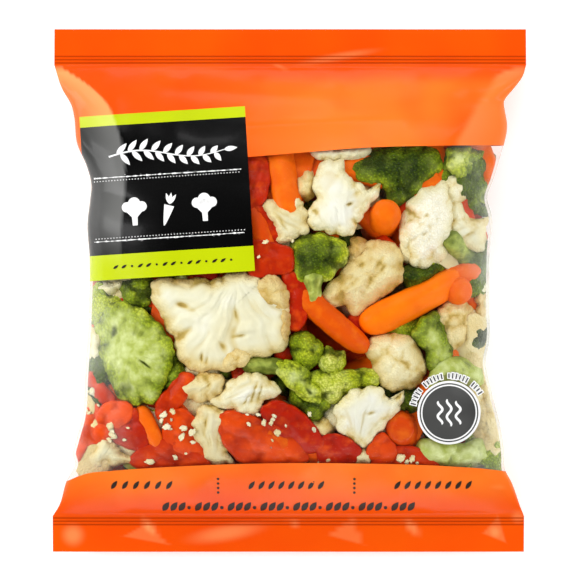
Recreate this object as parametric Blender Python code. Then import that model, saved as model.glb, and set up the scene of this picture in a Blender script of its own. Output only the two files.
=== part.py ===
"""Sealed pillow bag of mixed vegetables, lying on its back with the printed front up.

Units are metres and +Z is up. X runs across the bag, Y from the bottom seal to the top seal.
The origin is on the floor, below the middle of the bag. One closed solid holds film and contents.
"""

import math

import bmesh
import bpy
import numpy as np

MM = 0.001

# Whole bag
BAG_LENGTH = 254.9 * MM
BAG_HEIGHT = 70.0 * MM

# Seals: flat bands across both ends, with three pressed lines beside the body
SEAL_BAND = 17.5 * MM
SEAL_THICKNESS = 0.8 * MM
SEAL_HEIGHT = 14.0 * MM
SEAL_DROOP = 3.0 * MM
SEAL_WAVE = 0.7 * MM
SEAL_WAVE_LENGTH = 118.0 * MM
PRESSED_LINES = 3
PRESSED_PITCH = 1.6 * MM
PRESSED_DEPTH = 0.28 * MM

# Body section: a flattened ring that rests on the floor
SECTION_POWER = 2.15
SIDE_HEIGHT = 31.0 * MM
FLOOR_DIP = 5.5 * MM
BODY_END = BAG_LENGTH / 2 - SEAL_BAND

# Side outlines as (y, x) in millimetres, from the top seal down, with the dents of the slack film
LEFT_OUTLINE_MM = (
    (109.9, -114.6), (98.3, -110.7), (89.9, -106.0), (84.9, -104.8), (71.0, -103.1), (60.5, -98.5),
    (51.3, -96.2), (43.7, -96.8), (33.0, -98.0), (16.0, -97.0), (-8.0, -97.3), (-40.5, -99.1),
    (-62.2, -100.7), (-73.9, -104.0), (-79.3, -105.3), (-84.5, -104.2), (-91.9, -108.1),
    (-106.3, -113.0), (-109.9, -115.4),
)
RIGHT_OUTLINE_MM = (
    (109.9, 115.4), (104.2, 113.6), (97.5, 108.6), (92.4, 104.6), (87.5, 104.9), (81.5, 105.9),
    (64.7, 102.5), (54.0, 99.2), (45.0, 96.2), (36.6, 98.3), (18.5, 97.3), (-8.0, 97.0),
    (-24.3, 97.2), (-34.2, 95.4), (-48.6, 98.1), (-66.6, 102.6), (-80.0, 104.5), (-87.0, 104.9),
    (-93.0, 108.0), (-106.3, 112.9), (-109.9, 114.4),
)

# Vegetables that lift the film, as (x, y, radius, lift) in millimetres
LUMPS_MM = (
    (-32, -15, 34, 2.6), (-78, -33, 24, 2.4), (14, 10, 22, 2.2), (28, 45, 26, 2.0), (69, 34, 24, 2.5),
    (57, -4, 25, 2.3), (18, -24, 20, 1.6), (51, -36, 19, 2.0), (-18, -53, 24, 2.1), (24, -62, 25, 2.4),
    (-62, -70, 24, 2.0), (78, -66, 24, 2.2), (-58, 38, 30, 1.6), (74, -20, 18, 1.5), (-15, 33, 20, 1.6),
)

# Folds of the front film, as (x, y) from, (x, y) to, rise and half width, in millimetres
FOLDS_MM = (
    ((-113, 108), (-70, 62), 3.6, 8.0),
    ((-104, 84), (-84, 50), -2.6, 8.0),
    ((-97, 50), (-60, 38), -2.6, 8.0),
    ((114, 108), (62, 58), 3.6, 9.0),
    ((105, 91), (72, 94), -2.8, 7.0),
    ((97, 46), (64, 38), -2.6, 7.0),
    ((96, -34), (66, -28), -2.2, 7.0),
    ((-104, -84), (-66, -76), -2.6, 7.0),
    ((-114, -108), (-80, -78), 2.8, 8.0),
    ((104, -87), (72, -80), -2.6, 7.0),
    ((113, -108), (84, -78), 2.6, 8.0),
    ((-60, 98), (54, 91), -1.9, 10.0),
    ((-20, 80), (94, 86), 1.8, 9.0),
    ((-48, -101), (-32, -82), 1.8, 6.0),
    ((6, -102), (15, -84), -1.7, 6.0),
    ((52, -101), (62, -82), 1.8, 6.0),
)

# Puckers that run out of the seals
PUCKER_RISE = 1.5 * MM
PUCKER_REACH = 16.0 * MM
PUCKER_LENGTH = 27.0 * MM

# Print: header and footer all round, label and badge on the front only
HEADER_EDGE_MM = (-21.0, 65.6, 101.0, 73.3)
FOOTER_EDGE_Y = -85.5 * MM
LABEL_CENTRE = (-59.5 * MM, 46.6 * MM)
LABEL_HALF_WIDTH = 40.4 * MM
LABEL_HALF_HEIGHT = 40.0 * MM
LABEL_TURN = math.radians(3.6)
LIME_TOP = 5.4 * MM
LIME_BOTTOM = 11.9 * MM

# Mesh density
ROWS_BODY = 46
COLUMNS = 42


def smooth_through(y, points_mm):
    """x at height y on a smooth curve through (y, x) points, both in millimetres, as metres."""
    points = np.array(points_mm, float)[::-1] * MM
    ys, xs = points[:, 0], points[:, 1]
    slopes = np.gradient(xs, ys)
    y = np.clip(np.asarray(y, float), ys[0], ys[-1])
    k = np.clip(np.searchsorted(ys, y) - 1, 0, len(ys) - 2)
    step = ys[k + 1] - ys[k]
    t = (y - ys[k]) / step
    rise = xs[k] * (2 * t**3 - 3 * t**2 + 1) + xs[k + 1] * (3 * t**2 - 2 * t**3)
    lean = slopes[k] * (t**3 - 2 * t**2 + t) + slopes[k + 1] * (t**3 - t**2)
    return rise + step * lean


def ease(t):
    """0 to 1, with a smooth start and end."""
    t = np.clip(t, 0.0, 1.0)
    return t * t * (3.0 - 2.0 * t)


def swell(y, reach_top, reach_bottom, power):
    """0 at both seals, 1 in the middle: how full the bag is at height y."""
    from_top = np.clip((BODY_END - y) / reach_top, 0.0, 1.0)
    from_bottom = np.clip((BODY_END + y) / reach_bottom, 0.0, 1.0)
    return ((1.0 - (1.0 - from_top) ** 2.2) * (1.0 - (1.0 - from_bottom) ** 2.2)) ** power


def seal_level(x, y):
    """Height of the middle of the seal band, which droops to its free end and waves a little."""
    out = np.clip((np.abs(y) - BODY_END) / SEAL_BAND, 0.0, 1.0)
    wave = SEAL_WAVE * np.sin(2 * math.pi * x / SEAL_WAVE_LENGTH + np.sign(y))
    return SEAL_HEIGHT - SEAL_DROOP * out + wave * (0.4 + 0.6 * out)


def fold(x, y, start, end, rise, half_width):
    """One fold: a soft-topped crease along a line, highest a third of the way and gone at its end."""
    ax, ay, bx, by = (value * MM for value in (*start, *end))
    length_squared = (bx - ax) ** 2 + (by - ay) ** 2
    along = np.clip(((x - ax) * (bx - ax) + (y - ay) * (by - ay)) / length_squared, 0.0, 1.0)
    gap = np.hypot(x - ax - along * (bx - ax), y - ay - along * (by - ay))
    sharp = np.sqrt(gap**2 + (0.9 * MM) ** 2) - 0.9 * MM
    fade = ease((1.0 - along) / 0.7)
    return rise * MM * np.exp(-sharp / (0.55 * half_width * MM)) * fade


def puckers(x, y, phase):
    """Short waves across the film beside each seal."""
    from_seal = np.maximum(BODY_END - np.abs(y), 0.0)
    reach = np.exp(-from_seal / PUCKER_REACH) * (1.0 - np.exp(-from_seal / (4.0 * MM)))
    turn = 2 * math.pi * x / PUCKER_LENGTH
    wave = np.sin(turn + phase) + 0.6 * np.sin(1.73 * turn + 2.1 * phase + 1.0)
    return PUCKER_RISE * reach * wave


def front_relief(x, y):
    """What lifts or dents the front film: vegetables, folds and puckers."""
    total = puckers(x, y, 0.7 + 0.9 * np.sign(y))
    for lump_x, lump_y, radius, lift in LUMPS_MM:
        gap = np.hypot(x - lump_x * MM, y - lump_y * MM) / (radius * MM)
        total = total + lift * MM * ease(1.15 - gap)
    for start, end, rise, half_width in FOLDS_MM:
        total = total + fold(x, y, start, end, rise, half_width)
    return total


def bag_point(angle, y, half_seal):
    """Point of the film at an angle round the section (0 right, 90 up) and a height y."""
    left = smooth_through(y, LEFT_OUTLINE_MM)
    right = smooth_through(y, RIGHT_OUTLINE_MM)
    cosine, sine = np.cos(angle), np.sin(angle)
    full = swell(y, 110.0 * MM, 80.0 * MM, 0.85)
    power = 2.0 / (SECTION_POWER - 0.15 * (1.0 - full))
    across = np.sign(cosine) * np.abs(cosine) ** power
    up = np.abs(sine) ** power
    x = (left + right) / 2 + (right - left) / 2 * across
    level = seal_level(x, y)
    side = level + (SIDE_HEIGHT - level) * swell(y, 90.0 * MM, 70.0 * MM, 1.0)
    top = level + (BAG_HEIGHT - 2.5 * MM - level) * full
    bottom = level + (-FLOOR_DIP - level) * swell(y, 62.0 * MM, 56.0 * MM, 1.0)
    inner = up * ease(full / 0.25)
    front = side + (top - side + half_seal) * up + front_relief(x, y) * inner
    back = side - (side - bottom + half_seal) * up + puckers(x, y, 2.4 + np.sign(y)) * inner
    z = np.where(sine >= 0, front, np.maximum(back, 0.0))
    return x, y, z


def seal_rows():
    """Distance from the body and thickness of each row of a seal band, over the pressed lines."""
    rows = []
    for line in range(PRESSED_LINES):
        middle = (line + 0.6) * PRESSED_PITCH
        rows.append((middle, SEAL_THICKNESS / 2 - PRESSED_DEPTH))
        rows.append((middle + PRESSED_PITCH / 2, SEAL_THICKNESS / 2))
    rows.append((SEAL_BAND * 0.6, SEAL_THICKNESS / 2))
    rows.append((SEAL_BAND, SEAL_THICKNESS / 2))
    return rows


def all_rows():
    """(y, half thickness of the seal) of every ring, from the bottom end to the top end."""
    seal = [(BODY_END + out, half) for out, half in seal_rows()]
    steps = np.linspace(-1.0, 1.0, ROWS_BODY + 1)
    body = [(BODY_END * (0.86 * s + 0.14 * s**3), SEAL_THICKNESS / 2) for s in steps]
    return [(-y, half) for y, half in reversed(seal)] + body + seal


def ring_angles():
    """Angles round the section, closer together over the front and the back than at the sides."""
    steps = np.arange(2 * COLUMNS) / COLUMNS * math.pi
    return steps - 0.16 * np.sin(2 * steps)


def make_material(name, colour, roughness, alpha=1.0):
    material = bpy.data.materials.new(name)
    material.use_nodes = True
    shader = material.node_tree.nodes["Principled BSDF"]
    shader.inputs["Base Color"].default_value = (*colour, 1.0)
    shader.inputs["Roughness"].default_value = roughness
    shader.inputs["Metallic"].default_value = 0.0
    shader.inputs["Alpha"].default_value = alpha
    return material


def label_frame(point):
    """Place of a point in the label's own turned frame."""
    x, y = point.x - LABEL_CENTRE[0], point.y - LABEL_CENTRE[1]
    cosine, sine = math.cos(LABEL_TURN), math.sin(LABEL_TURN)
    return x * cosine + y * sine, -x * sine + y * cosine


def header_edge(x):
    """y of the header's lower edge, a straight printed line that leans with the label."""
    x0, y0, x1, y1 = (value * MM for value in HEADER_EDGE_MM)
    return y0 + (y1 - y0) * (x - x0) / (x1 - x0)


def cut(bm, faces, point, normal):
    """Adds edges along a printed border, where a plane crosses these faces."""
    geometry = set(faces)
    for face in faces:
        geometry.update(face.edges)
        geometry.update(face.verts)
    bmesh.ops.bisect_plane(bm, geom=list(geometry), dist=1e-6, plane_co=point, plane_no=normal)


def near_label(face):
    across, up = label_frame(face.calc_center_median())
    slack = 12.0 * MM
    inside = abs(across) < LABEL_HALF_WIDTH + slack and abs(up) < LABEL_HALF_HEIGHT + slack
    return inside and face.normal.z > 0.0


def cut_print_borders(bm):
    """Edges along the header, the footer and the label, so that each colour ends cleanly."""
    x0, y0, x1, y1 = (value * MM for value in HEADER_EDGE_MM)
    cut(bm, bm.faces[:], (x0, y0, 0), (y0 - y1, x1 - x0, 0))
    cut(bm, bm.faces[:], (0, FOOTER_EDGE_Y, 0), (0, 1, 0))
    right = (math.cos(LABEL_TURN), math.sin(LABEL_TURN), 0)
    up = (-math.sin(LABEL_TURN), math.cos(LABEL_TURN), 0)
    borders = [(up, -LABEL_HALF_HEIGHT), (up, LABEL_HALF_HEIGHT), (up, LABEL_HALF_HEIGHT - LIME_TOP)]
    borders += [(up, LIME_BOTTOM - LABEL_HALF_HEIGHT), (right, LABEL_HALF_WIDTH), (right, -LABEL_HALF_WIDTH)]
    for axis, distance in borders:
        bm.normal_update()
        point = [LABEL_CENTRE[i] + axis[i] * distance for i in range(2)] + [0.0]
        cut(bm, [face for face in bm.faces if near_label(face)], point, axis)


def print_of(face):
    """Index of the material that covers this face."""
    middle = face.calc_center_median()
    across, up = label_frame(middle)
    if face.normal.z > 0.0 and abs(across) < LABEL_HALF_WIDTH and abs(up) < LABEL_HALF_HEIGHT:
        lime = up > LABEL_HALF_HEIGHT - LIME_TOP or up < LIME_BOTTOM - LABEL_HALF_HEIGHT
        return 3 if lime else 2
    return 0 if middle.y > header_edge(middle.x) or middle.y < FOOTER_EDGE_Y else 1


def make_bag():
    """The whole bag as one closed skin: rings from end to end, bridged, with both ends closed."""
    bm = bmesh.new()
    angles = ring_angles()
    rings = []
    for y, half_seal in all_rows():
        x, _, z = bag_point(angles, np.full_like(angles, y), half_seal)
        rings.append([bm.verts.new((x[i], y, z[i])) for i in range(len(angles))])
    count = len(angles)
    for lower, upper in zip(rings, rings[1:]):
        for i in range(count):
            j = (i + 1) % count
            bm.faces.new((lower[i], upper[i], upper[j], lower[j]))
    for ring, turned in ((rings[0], False), (rings[-1], True)):
        for i in range(COLUMNS):
            corners = [ring[i], ring[i + 1], ring[-i - 1], ring[-i]]
            corners = list(dict.fromkeys(corners))
            bm.faces.new(corners[::-1] if turned else corners)
    bmesh.ops.recalc_face_normals(bm, faces=bm.faces[:])
    cut_print_borders(bm)
    bm.normal_update()
    for face in bm.faces:
        face.material_index = print_of(face)
    bmesh.ops.triangulate(bm, faces=bm.faces[:])
    mesh = bpy.data.meshes.new("bag")
    bm.to_mesh(mesh)
    bm.free()
    mesh.shade_smooth()
    bag = bpy.data.objects.new("bag", mesh)
    bpy.context.scene.collection.objects.link(bag)
    for material in (
        make_material("orange_print", (0.95, 0.13, 0.004), 0.32),
        make_material("clear_film", (0.55, 0.56, 0.30), 0.25),
        make_material("label_black", (0.018, 0.017, 0.016), 0.35),
        make_material("label_lime", (0.72, 0.86, 0.01), 0.35),
    ):
        mesh.materials.append(material)
    return bag


def main():
    for old in list(bpy.data.objects):
        bpy.data.objects.remove(old, do_unlink=True)
    make_bag()


main()
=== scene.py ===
"""Looks of a sealed bag of mixed vegetables: the printed film and the vegetables that show through.

Metres, +Z up. X runs across the bag, Y from the bottom seal to the top seal, the front faces up.
"""

import math
import random
from collections import namedtuple

import bmesh
import bpy
import numpy as np
from mathutils import Matrix, Vector, noise


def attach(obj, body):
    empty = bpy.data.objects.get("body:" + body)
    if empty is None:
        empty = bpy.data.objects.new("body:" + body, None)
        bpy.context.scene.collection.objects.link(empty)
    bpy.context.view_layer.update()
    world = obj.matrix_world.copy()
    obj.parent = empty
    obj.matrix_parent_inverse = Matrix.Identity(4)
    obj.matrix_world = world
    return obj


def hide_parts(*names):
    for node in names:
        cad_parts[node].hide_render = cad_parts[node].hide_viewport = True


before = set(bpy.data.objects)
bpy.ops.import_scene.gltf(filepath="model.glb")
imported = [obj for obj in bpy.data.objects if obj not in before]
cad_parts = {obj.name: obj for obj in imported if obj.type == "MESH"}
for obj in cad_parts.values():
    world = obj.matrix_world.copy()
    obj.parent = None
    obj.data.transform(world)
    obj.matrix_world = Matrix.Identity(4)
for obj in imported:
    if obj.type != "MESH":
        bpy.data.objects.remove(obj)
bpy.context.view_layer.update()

MM = 0.001

# Bag form, with the same values as the solid
BAG_LENGTH = 254.9 * MM
BAG_HEIGHT = 70.0 * MM
SEAL_BAND = 17.5 * MM
SEAL_HALF = 0.28 * MM
SEAL_HEIGHT = 14.0 * MM
SEAL_DROOP = 3.0 * MM
SEAL_WAVE = 0.7 * MM
SEAL_WAVE_LENGTH = 118.0 * MM
PRESSED_LINES = 3
PRESSED_PITCH = 1.6 * MM
PRESSED_DEPTH = 0.24 * MM
SECTION_POWER = 2.15
SIDE_HEIGHT = 31.0 * MM
FLOOR_DIP = 5.5 * MM
FLOOR_GAP = 0.18 * MM
BODY_END = BAG_LENGTH / 2 - SEAL_BAND
LEFT_OUTLINE_MM = (
    (109.9, -114.6), (98.3, -110.7), (89.9, -106.0), (84.9, -104.8), (71.0, -103.1), (60.5, -98.5),
    (51.3, -96.2), (43.7, -96.8), (33.0, -98.0), (16.0, -97.0), (-8.0, -97.3), (-40.5, -99.1),
    (-62.2, -100.7), (-73.9, -104.0), (-79.3, -105.3), (-84.5, -104.2), (-91.9, -108.1),
    (-106.3, -113.0), (-109.9, -115.4),
)
RIGHT_OUTLINE_MM = (
    (109.9, 115.4), (104.2, 113.6), (97.5, 108.6), (92.4, 104.6), (87.5, 104.9), (81.5, 105.9),
    (64.7, 102.5), (54.0, 99.2), (45.0, 96.2), (36.6, 98.3), (18.5, 97.3), (-8.0, 97.0),
    (-24.3, 97.2), (-34.2, 95.4), (-48.6, 98.1), (-66.6, 102.6), (-80.0, 104.5), (-87.0, 104.9),
    (-93.0, 108.0), (-106.3, 112.9), (-109.9, 114.4),
)
LUMPS_MM = (
    (-32, -15, 34, 2.6), (-78, -33, 24, 2.4), (14, 10, 22, 2.2), (28, 45, 26, 2.0), (69, 34, 24, 2.5),
    (57, -4, 25, 2.3), (18, -24, 20, 1.6), (51, -36, 19, 2.0), (-18, -53, 24, 2.1), (24, -62, 25, 2.4),
    (-62, -70, 24, 2.0), (78, -66, 24, 2.2), (-58, 38, 30, 1.6), (74, -20, 18, 1.5), (-15, 33, 20, 1.6),
)
FOLDS_MM = (
    ((-113, 108), (-70, 62), 3.6, 8.0),
    ((-104, 84), (-84, 50), -2.6, 8.0),
    ((-97, 50), (-60, 38), -2.6, 8.0),
    ((114, 108), (62, 58), 3.6, 9.0),
    ((105, 91), (72, 94), -2.8, 7.0),
    ((97, 46), (64, 38), -2.6, 7.0),
    ((96, -34), (66, -28), -2.2, 7.0),
    ((-104, -84), (-66, -76), -2.6, 7.0),
    ((-114, -108), (-80, -78), 2.8, 8.0),
    ((104, -87), (72, -80), -2.6, 7.0),
    ((113, -108), (84, -78), 2.6, 8.0),
    ((-60, 98), (54, 91), -1.9, 10.0),
    ((-20, 80), (94, 86), 1.8, 9.0),
    ((-48, -101), (-32, -82), 1.8, 6.0),
    ((6, -102), (15, -84), -1.7, 6.0),
    ((52, -101), (62, -82), 1.8, 6.0),
)
PUCKER_RISE = 1.5 * MM
PUCKER_REACH = 16.0 * MM
PUCKER_LENGTH = 27.0 * MM

# Left and right borders of the upper corner facets, where a highlight is painted into the print, as (y, x)
FACET_LEFT_MM = (
    (108.5, -109.9), (99.2, -96.2), (90.9, -87.9), (81.7, -83.6), (69.5, -80.1), (53.9, -78.7),
    (29.5, -80.6),
)
FACET_RIGHT_MM = ((110.4, 115.3), (109.0, 109.5), (96.8, 93.9), (84.1, 85.6), (72.4, 78.8))

# Painted highlights, pale spots on the printed film: pixel x, y, half length and half width in pixels,
# angle, strength
PAINTED_GLINTS = (
    (73, 535, 13, 13, 0, 0.55), (149, 526, 13, 6, -52, 0.60), (226, 533, 44, 10, 10, 0.50),
    (294, 523, 8, 4.5, -50, 0.45), (412, 527, 13, 6, -55, 0.55), (495, 532, 7, 6, -60, 0.35),
    (518, 517, 8, 8, 0, 0.35), (313, 469, 10, 4, 45, 0.40), (400, 471, 11, 5, -25, 0.25),
    (497, 486, 10, 4, 0, 0.40), (338, 57, 46, 5, 10, 0.40), (280, 67, 6, 2.5, -25, 0.50),
    (326, 118, 46, 6, 3, 0.35), (387, 94, 60, 13, 8, 0.25),
)
# Painted highlights, pale three-cornered facets on the bottom seal: three pixels and a strength
PAINTED_SEAL_FACETS = (
    ((120, 537), (147, 522), (173, 547), 0.30), ((326, 536), (353, 515), (366, 547), 0.28),
    ((481, 534), (499, 513), (508, 545), 0.30),
)

# Film mesh, and how strongly a whitish reflection is painted onto the film at the bag's sides
COLUMNS = 150
ROWS_BODY = 150
SIDE_REFLECTION_PAINTED = 0.22

# Printed borders, as (x, y) in millimetres, and the label's place
HEADER_EDGE_MM = (
    (-116, 60.0), (-60, 62.0), (-20.7, 64.4), (5.2, 66.5), (40.0, 69.2), (63.0, 69.9),
    (100.2, 70.4), (116, 70.4),
)
FOOTER_EDGE_MM = (
    (-116, -94.2), (-108.1, -92.6), (-99.2, -89.1), (-85.5, -87.4), (-63.1, -85.7), (-31.4, -84.1),
    (4.7, -83.4), (36.4, -83.7), (63.4, -84.4), (81.2, -85.4), (94.9, -86.5), (105.3, -88.0),
    (116, -90.5),
)
LABEL_CENTRE = (-59.3 * MM, 46.9 * MM)
LABEL_HALF = (40.3 * MM, 40.0 * MM)
LABEL_TURN = math.radians(3.6)
LIME_TOP = 5.3 * MM
LIME_BOTTOM = 12.1 * MM

# Badge: radii of its rim, its disc, its thin circle and its arc of bars, and its wavy lines
BADGE_CENTRE = (77.1 * MM, -59.0 * MM)
BADGE_RIM = 15.4 * MM
BADGE_DISC = 14.3 * MM
BADGE_CIRCLE = (12.95 * MM, 13.65 * MM)
BADGE_ARC = 17.9 * MM
WAVE_PITCH = 4.4 * MM
WAVE_SWAY = 1.1 * MM
WAVE_HALF_WIDTH = 0.62 * MM

# The photograph's scale: millimetres a pixel, and the pixel at the middle of the bag
MM_PER_PIXEL = 0.4875
MIDDLE_PIXEL = (289.4, 290.5)


def from_pixel(px, py):
    """(x, y) in millimetres of a point of the photograph."""
    return (px - MIDDLE_PIXEL[0]) * MM_PER_PIXEL, (MIDDLE_PIXEL[1] - py) * MM_PER_PIXEL


def pixel_point(px, py):
    """The same point in metres."""
    return np.array(from_pixel(px, py)) * MM


# Form of the bag


def curve_through(at, knots, values):
    """Smooth curve through (knot, value) points, flat beyond its ends."""
    slopes = np.gradient(values, knots)
    at = np.clip(np.asarray(at, float), knots[0], knots[-1])
    k = np.clip(np.searchsorted(knots, at) - 1, 0, len(knots) - 2)
    step = knots[k + 1] - knots[k]
    t = (at - knots[k]) / step
    rise = values[k] * (2 * t**3 - 3 * t**2 + 1) + values[k + 1] * (3 * t**2 - 2 * t**3)
    lean = slopes[k] * (t**3 - 2 * t**2 + t) + slopes[k + 1] * (t**3 - t**2)
    return rise + step * lean


def outline(y, points_mm):
    """x of a side outline at height y."""
    points = np.array(points_mm, float)[::-1] * MM
    return curve_through(y, points[:, 0], points[:, 1])


def border(x, points_mm):
    """y of a printed border at x."""
    points = np.array(points_mm, float) * MM
    return curve_through(x, points[:, 0], points[:, 1])


def ease(t):
    """0 to 1, with a smooth start and end."""
    t = np.clip(t, 0.0, 1.0)
    return t * t * (3.0 - 2.0 * t)


def swell(y, reach_top, reach_bottom, power):
    """0 at both seals, 1 in the middle: how full the bag is at height y."""
    from_top = np.clip((BODY_END - y) / reach_top, 0.0, 1.0)
    from_bottom = np.clip((BODY_END + y) / reach_bottom, 0.0, 1.0)
    return ((1.0 - (1.0 - from_top) ** 2.2) * (1.0 - (1.0 - from_bottom) ** 2.2)) ** power


def seal_level(x, y):
    """Height of the middle of the seal band, which droops to its free end and waves a little."""
    out = np.clip((np.abs(y) - BODY_END) / SEAL_BAND, 0.0, 1.0)
    wave = SEAL_WAVE * np.sin(2 * math.pi * x / SEAL_WAVE_LENGTH + np.sign(y))
    return SEAL_HEIGHT - SEAL_DROOP * out + wave * (0.4 + 0.6 * out)


def fold(x, y, start, end, rise, half_width):
    """One fold: a soft-topped crease along a line, highest near its start and gone at its end."""
    ax, ay, bx, by = (value * MM for value in (*start, *end))
    length_squared = (bx - ax) ** 2 + (by - ay) ** 2
    along = np.clip(((x - ax) * (bx - ax) + (y - ay) * (by - ay)) / length_squared, 0.0, 1.0)
    gap = np.hypot(x - ax - along * (bx - ax), y - ay - along * (by - ay))
    sharp = np.sqrt(gap**2 + (0.9 * MM) ** 2) - 0.9 * MM
    fade = ease((1.0 - along) / 0.7)
    return rise * MM * np.exp(-sharp / (0.55 * half_width * MM)) * fade


def puckers(x, y, phase):
    """Short waves across the film beside each seal."""
    from_seal = np.maximum(BODY_END - np.abs(y), 0.0)
    reach = np.exp(-from_seal / PUCKER_REACH) * (1.0 - np.exp(-from_seal / (4.0 * MM)))
    turn = 2 * math.pi * x / PUCKER_LENGTH
    wave = np.sin(turn + phase) + 0.6 * np.sin(1.73 * turn + 2.1 * phase + 1.0)
    return PUCKER_RISE * reach * wave


def front_relief(x, y):
    """What lifts or dents the front film: vegetables, folds and puckers."""
    total = puckers(x, y, 0.7 + 0.9 * np.sign(y))
    for lump_x, lump_y, radius, lift in LUMPS_MM:
        gap = np.hypot(x - lump_x * MM, y - lump_y * MM) / (radius * MM)
        total = total + lift * MM * ease(1.15 - gap)
    for start, end, rise, half_width in FOLDS_MM:
        total = total + fold(x, y, start, end, rise, half_width)
    return total


def section(y):
    """Left edge, right edge, fullness and curve power of the bag's section at height y."""
    full = swell(y, 110.0 * MM, 80.0 * MM, 0.85)
    power = 2.0 / (SECTION_POWER - 0.15 * (1.0 - full))
    return outline(y, LEFT_OUTLINE_MM), outline(y, RIGHT_OUTLINE_MM), full, power


def side_height(x, y):
    """Height of the side line, where the front film turns into the back film."""
    level = seal_level(x, y)
    return level + (SIDE_HEIGHT - level) * swell(y, 90.0 * MM, 70.0 * MM, 1.0)


def heights(x, y, up, full, half_seal):
    """Front and back height of the film at x, y, for a rise up from the side line."""
    level = seal_level(x, y)
    side = side_height(x, y)
    top = level + (BAG_HEIGHT - 2.5 * MM - level) * full
    bottom = level + (-FLOOR_DIP - level) * swell(y, 62.0 * MM, 56.0 * MM, 1.0)
    inner = up * ease(full / 0.25)
    front = side + (top - side + half_seal) * up + front_relief(x, y) * inner
    back = side - (side - bottom + half_seal) * up + puckers(x, y, 2.4 + np.sign(y)) * inner
    return front, np.maximum(back, FLOOR_GAP)


def film_span(x, y):
    """Front and back height of the film at any x, y inside the outline."""
    left, right, full, power = section(y)
    across = np.clip((x - (left + right) / 2) / ((right - left) / 2), -0.9995, 0.9995)
    cosine = np.abs(across) ** (1.0 / power)
    up = np.maximum(1.0 - cosine**2, 0.0) ** (power / 2)
    return heights(x, y, up, full, SEAL_HALF)


# Film mesh, cut along the printed borders


def pressed_share(out):
    """1 in the middle of a pressed line of the seal, 0 away from it, for a distance beyond the body."""
    total = 0.0
    for line in range(PRESSED_LINES):
        total = total + np.exp(-(((out - (line + 0.6) * PRESSED_PITCH) / (0.38 * MM)) ** 2))
    return np.minimum(total, 1.0)


def film_rows():
    """(y, half thickness of the seal) of every ring, from the bottom end to the top end."""
    outs = np.linspace(0.0, SEAL_BAND, 50)[1:]
    seal = [(BODY_END + out, SEAL_HALF - PRESSED_DEPTH * pressed_share(out)) for out in outs]
    steps = np.linspace(-1.0, 1.0, ROWS_BODY + 1)
    body = [(BODY_END * (0.86 * s + 0.14 * s**3), SEAL_HALF) for s in steps]
    return [(-y, half) for y, half in reversed(seal)] + body + seal


def film_ring(y, half_seal):
    """Points round the section at height y."""
    steps = np.arange(2 * COLUMNS) / COLUMNS * math.pi
    angles = steps - 0.16 * np.sin(2 * steps)
    ys = np.full_like(angles, y)
    left, right, full, power = section(ys)
    cosine, sine = np.cos(angles), np.sin(angles)
    across = np.sign(cosine) * np.abs(cosine) ** power
    x = (left + right) / 2 + (right - left) / 2 * across
    front, back = heights(x, ys, np.abs(sine) ** power, full, half_seal)
    return np.stack([x, ys, np.where(sine >= 0, front, back)], axis=1)


def film_skin():
    """The whole film as one closed skin."""
    bm = bmesh.new()
    rings = [[bm.verts.new(p) for p in film_ring(y, half)] for y, half in film_rows()]
    count = 2 * COLUMNS
    for lower, upper in zip(rings, rings[1:]):
        for i in range(count):
            j = (i + 1) % count
            bm.faces.new((lower[i], upper[i], upper[j], lower[j]))
    for ring, turned in ((rings[0], False), (rings[-1], True)):
        for i in range(COLUMNS):
            corners = list(dict.fromkeys([ring[i], ring[i + 1], ring[-i - 1], ring[-i]]))
            bm.faces.new(corners[::-1] if turned else corners)
    bmesh.ops.recalc_face_normals(bm, faces=bm.faces[:])
    return bm


def label_frame(x, y):
    """Place of a point in the label's own turned frame."""
    dx, dy = x - LABEL_CENTRE[0], y - LABEL_CENTRE[1]
    cosine, sine = math.cos(LABEL_TURN), math.sin(LABEL_TURN)
    return dx * cosine + dy * sine, -dx * sine + dy * cosine


def label_point(across, up):
    """(x, y) of a point in the label's own frame, all in metres."""
    cosine, sine = math.cos(LABEL_TURN), math.sin(LABEL_TURN)
    return LABEL_CENTRE[0] + across * cosine - up * sine, LABEL_CENTRE[1] + across * sine + up * cosine


def label_wrap(x, y):
    """Height down to which the label goes round the bag's side."""
    return side_height(x, y) - 6.0 * MM


def near_label(x, y, z):
    """Whether a point is on the front film close to the label."""
    across, up = label_frame(x, y)
    slack = 6.0 * MM
    close = abs(across) < LABEL_HALF[0] + slack and abs(up) < LABEL_HALF[1] + slack
    return close and z > side_height(x, y) - 9.0 * MM


def split_along(bm, level, wanted):
    """Adds a line of edges where level(x, y, z) is zero, on the edges whose middle is wanted."""
    bm.verts.index_update()
    points = np.array([vert.co for vert in bm.verts])
    values = level(*points.T)
    crossing = [e for e in bm.edges if values[e.verts[0].index] * values[e.verts[1].index] < 0.0]
    fresh = set()
    for edge in crossing:
        start, end = edge.verts
        if wanted is not None and not wanted(*((start.co + end.co) / 2)):
            continue
        share = values[start.index] / (values[start.index] - values[end.index])
        fresh.add(bmesh.utils.edge_split(edge, start, min(max(share, 0.02), 0.98))[1])
    for face in {face for vert in fresh for face in vert.link_faces}:
        ends = [vert for vert in face.verts if vert in fresh]
        if len(ends) == 2:
            bmesh.utils.face_split(face, ends[0], ends[1])


def cut_borders(bm):
    """Edges along every printed border, so that each colour ends cleanly."""
    split_along(bm, lambda x, y, z: y - border(x, HEADER_EDGE_MM), None)
    split_along(bm, lambda x, y, z: y - border(x, FOOTER_EDGE_MM), None)
    half_width, half_height = LABEL_HALF
    for up in (-half_height, LIME_BOTTOM - half_height, half_height - LIME_TOP, half_height):
        split_along(bm, lambda x, y, z, up=up: label_frame(x, y)[1] - up, near_label)
    for across in (-half_width, half_width):
        split_along(bm, lambda x, y, z, across=across: label_frame(x, y)[0] - across, near_label)
    split_along(bm, lambda x, y, z: z - label_wrap(x, y), near_label)


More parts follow.
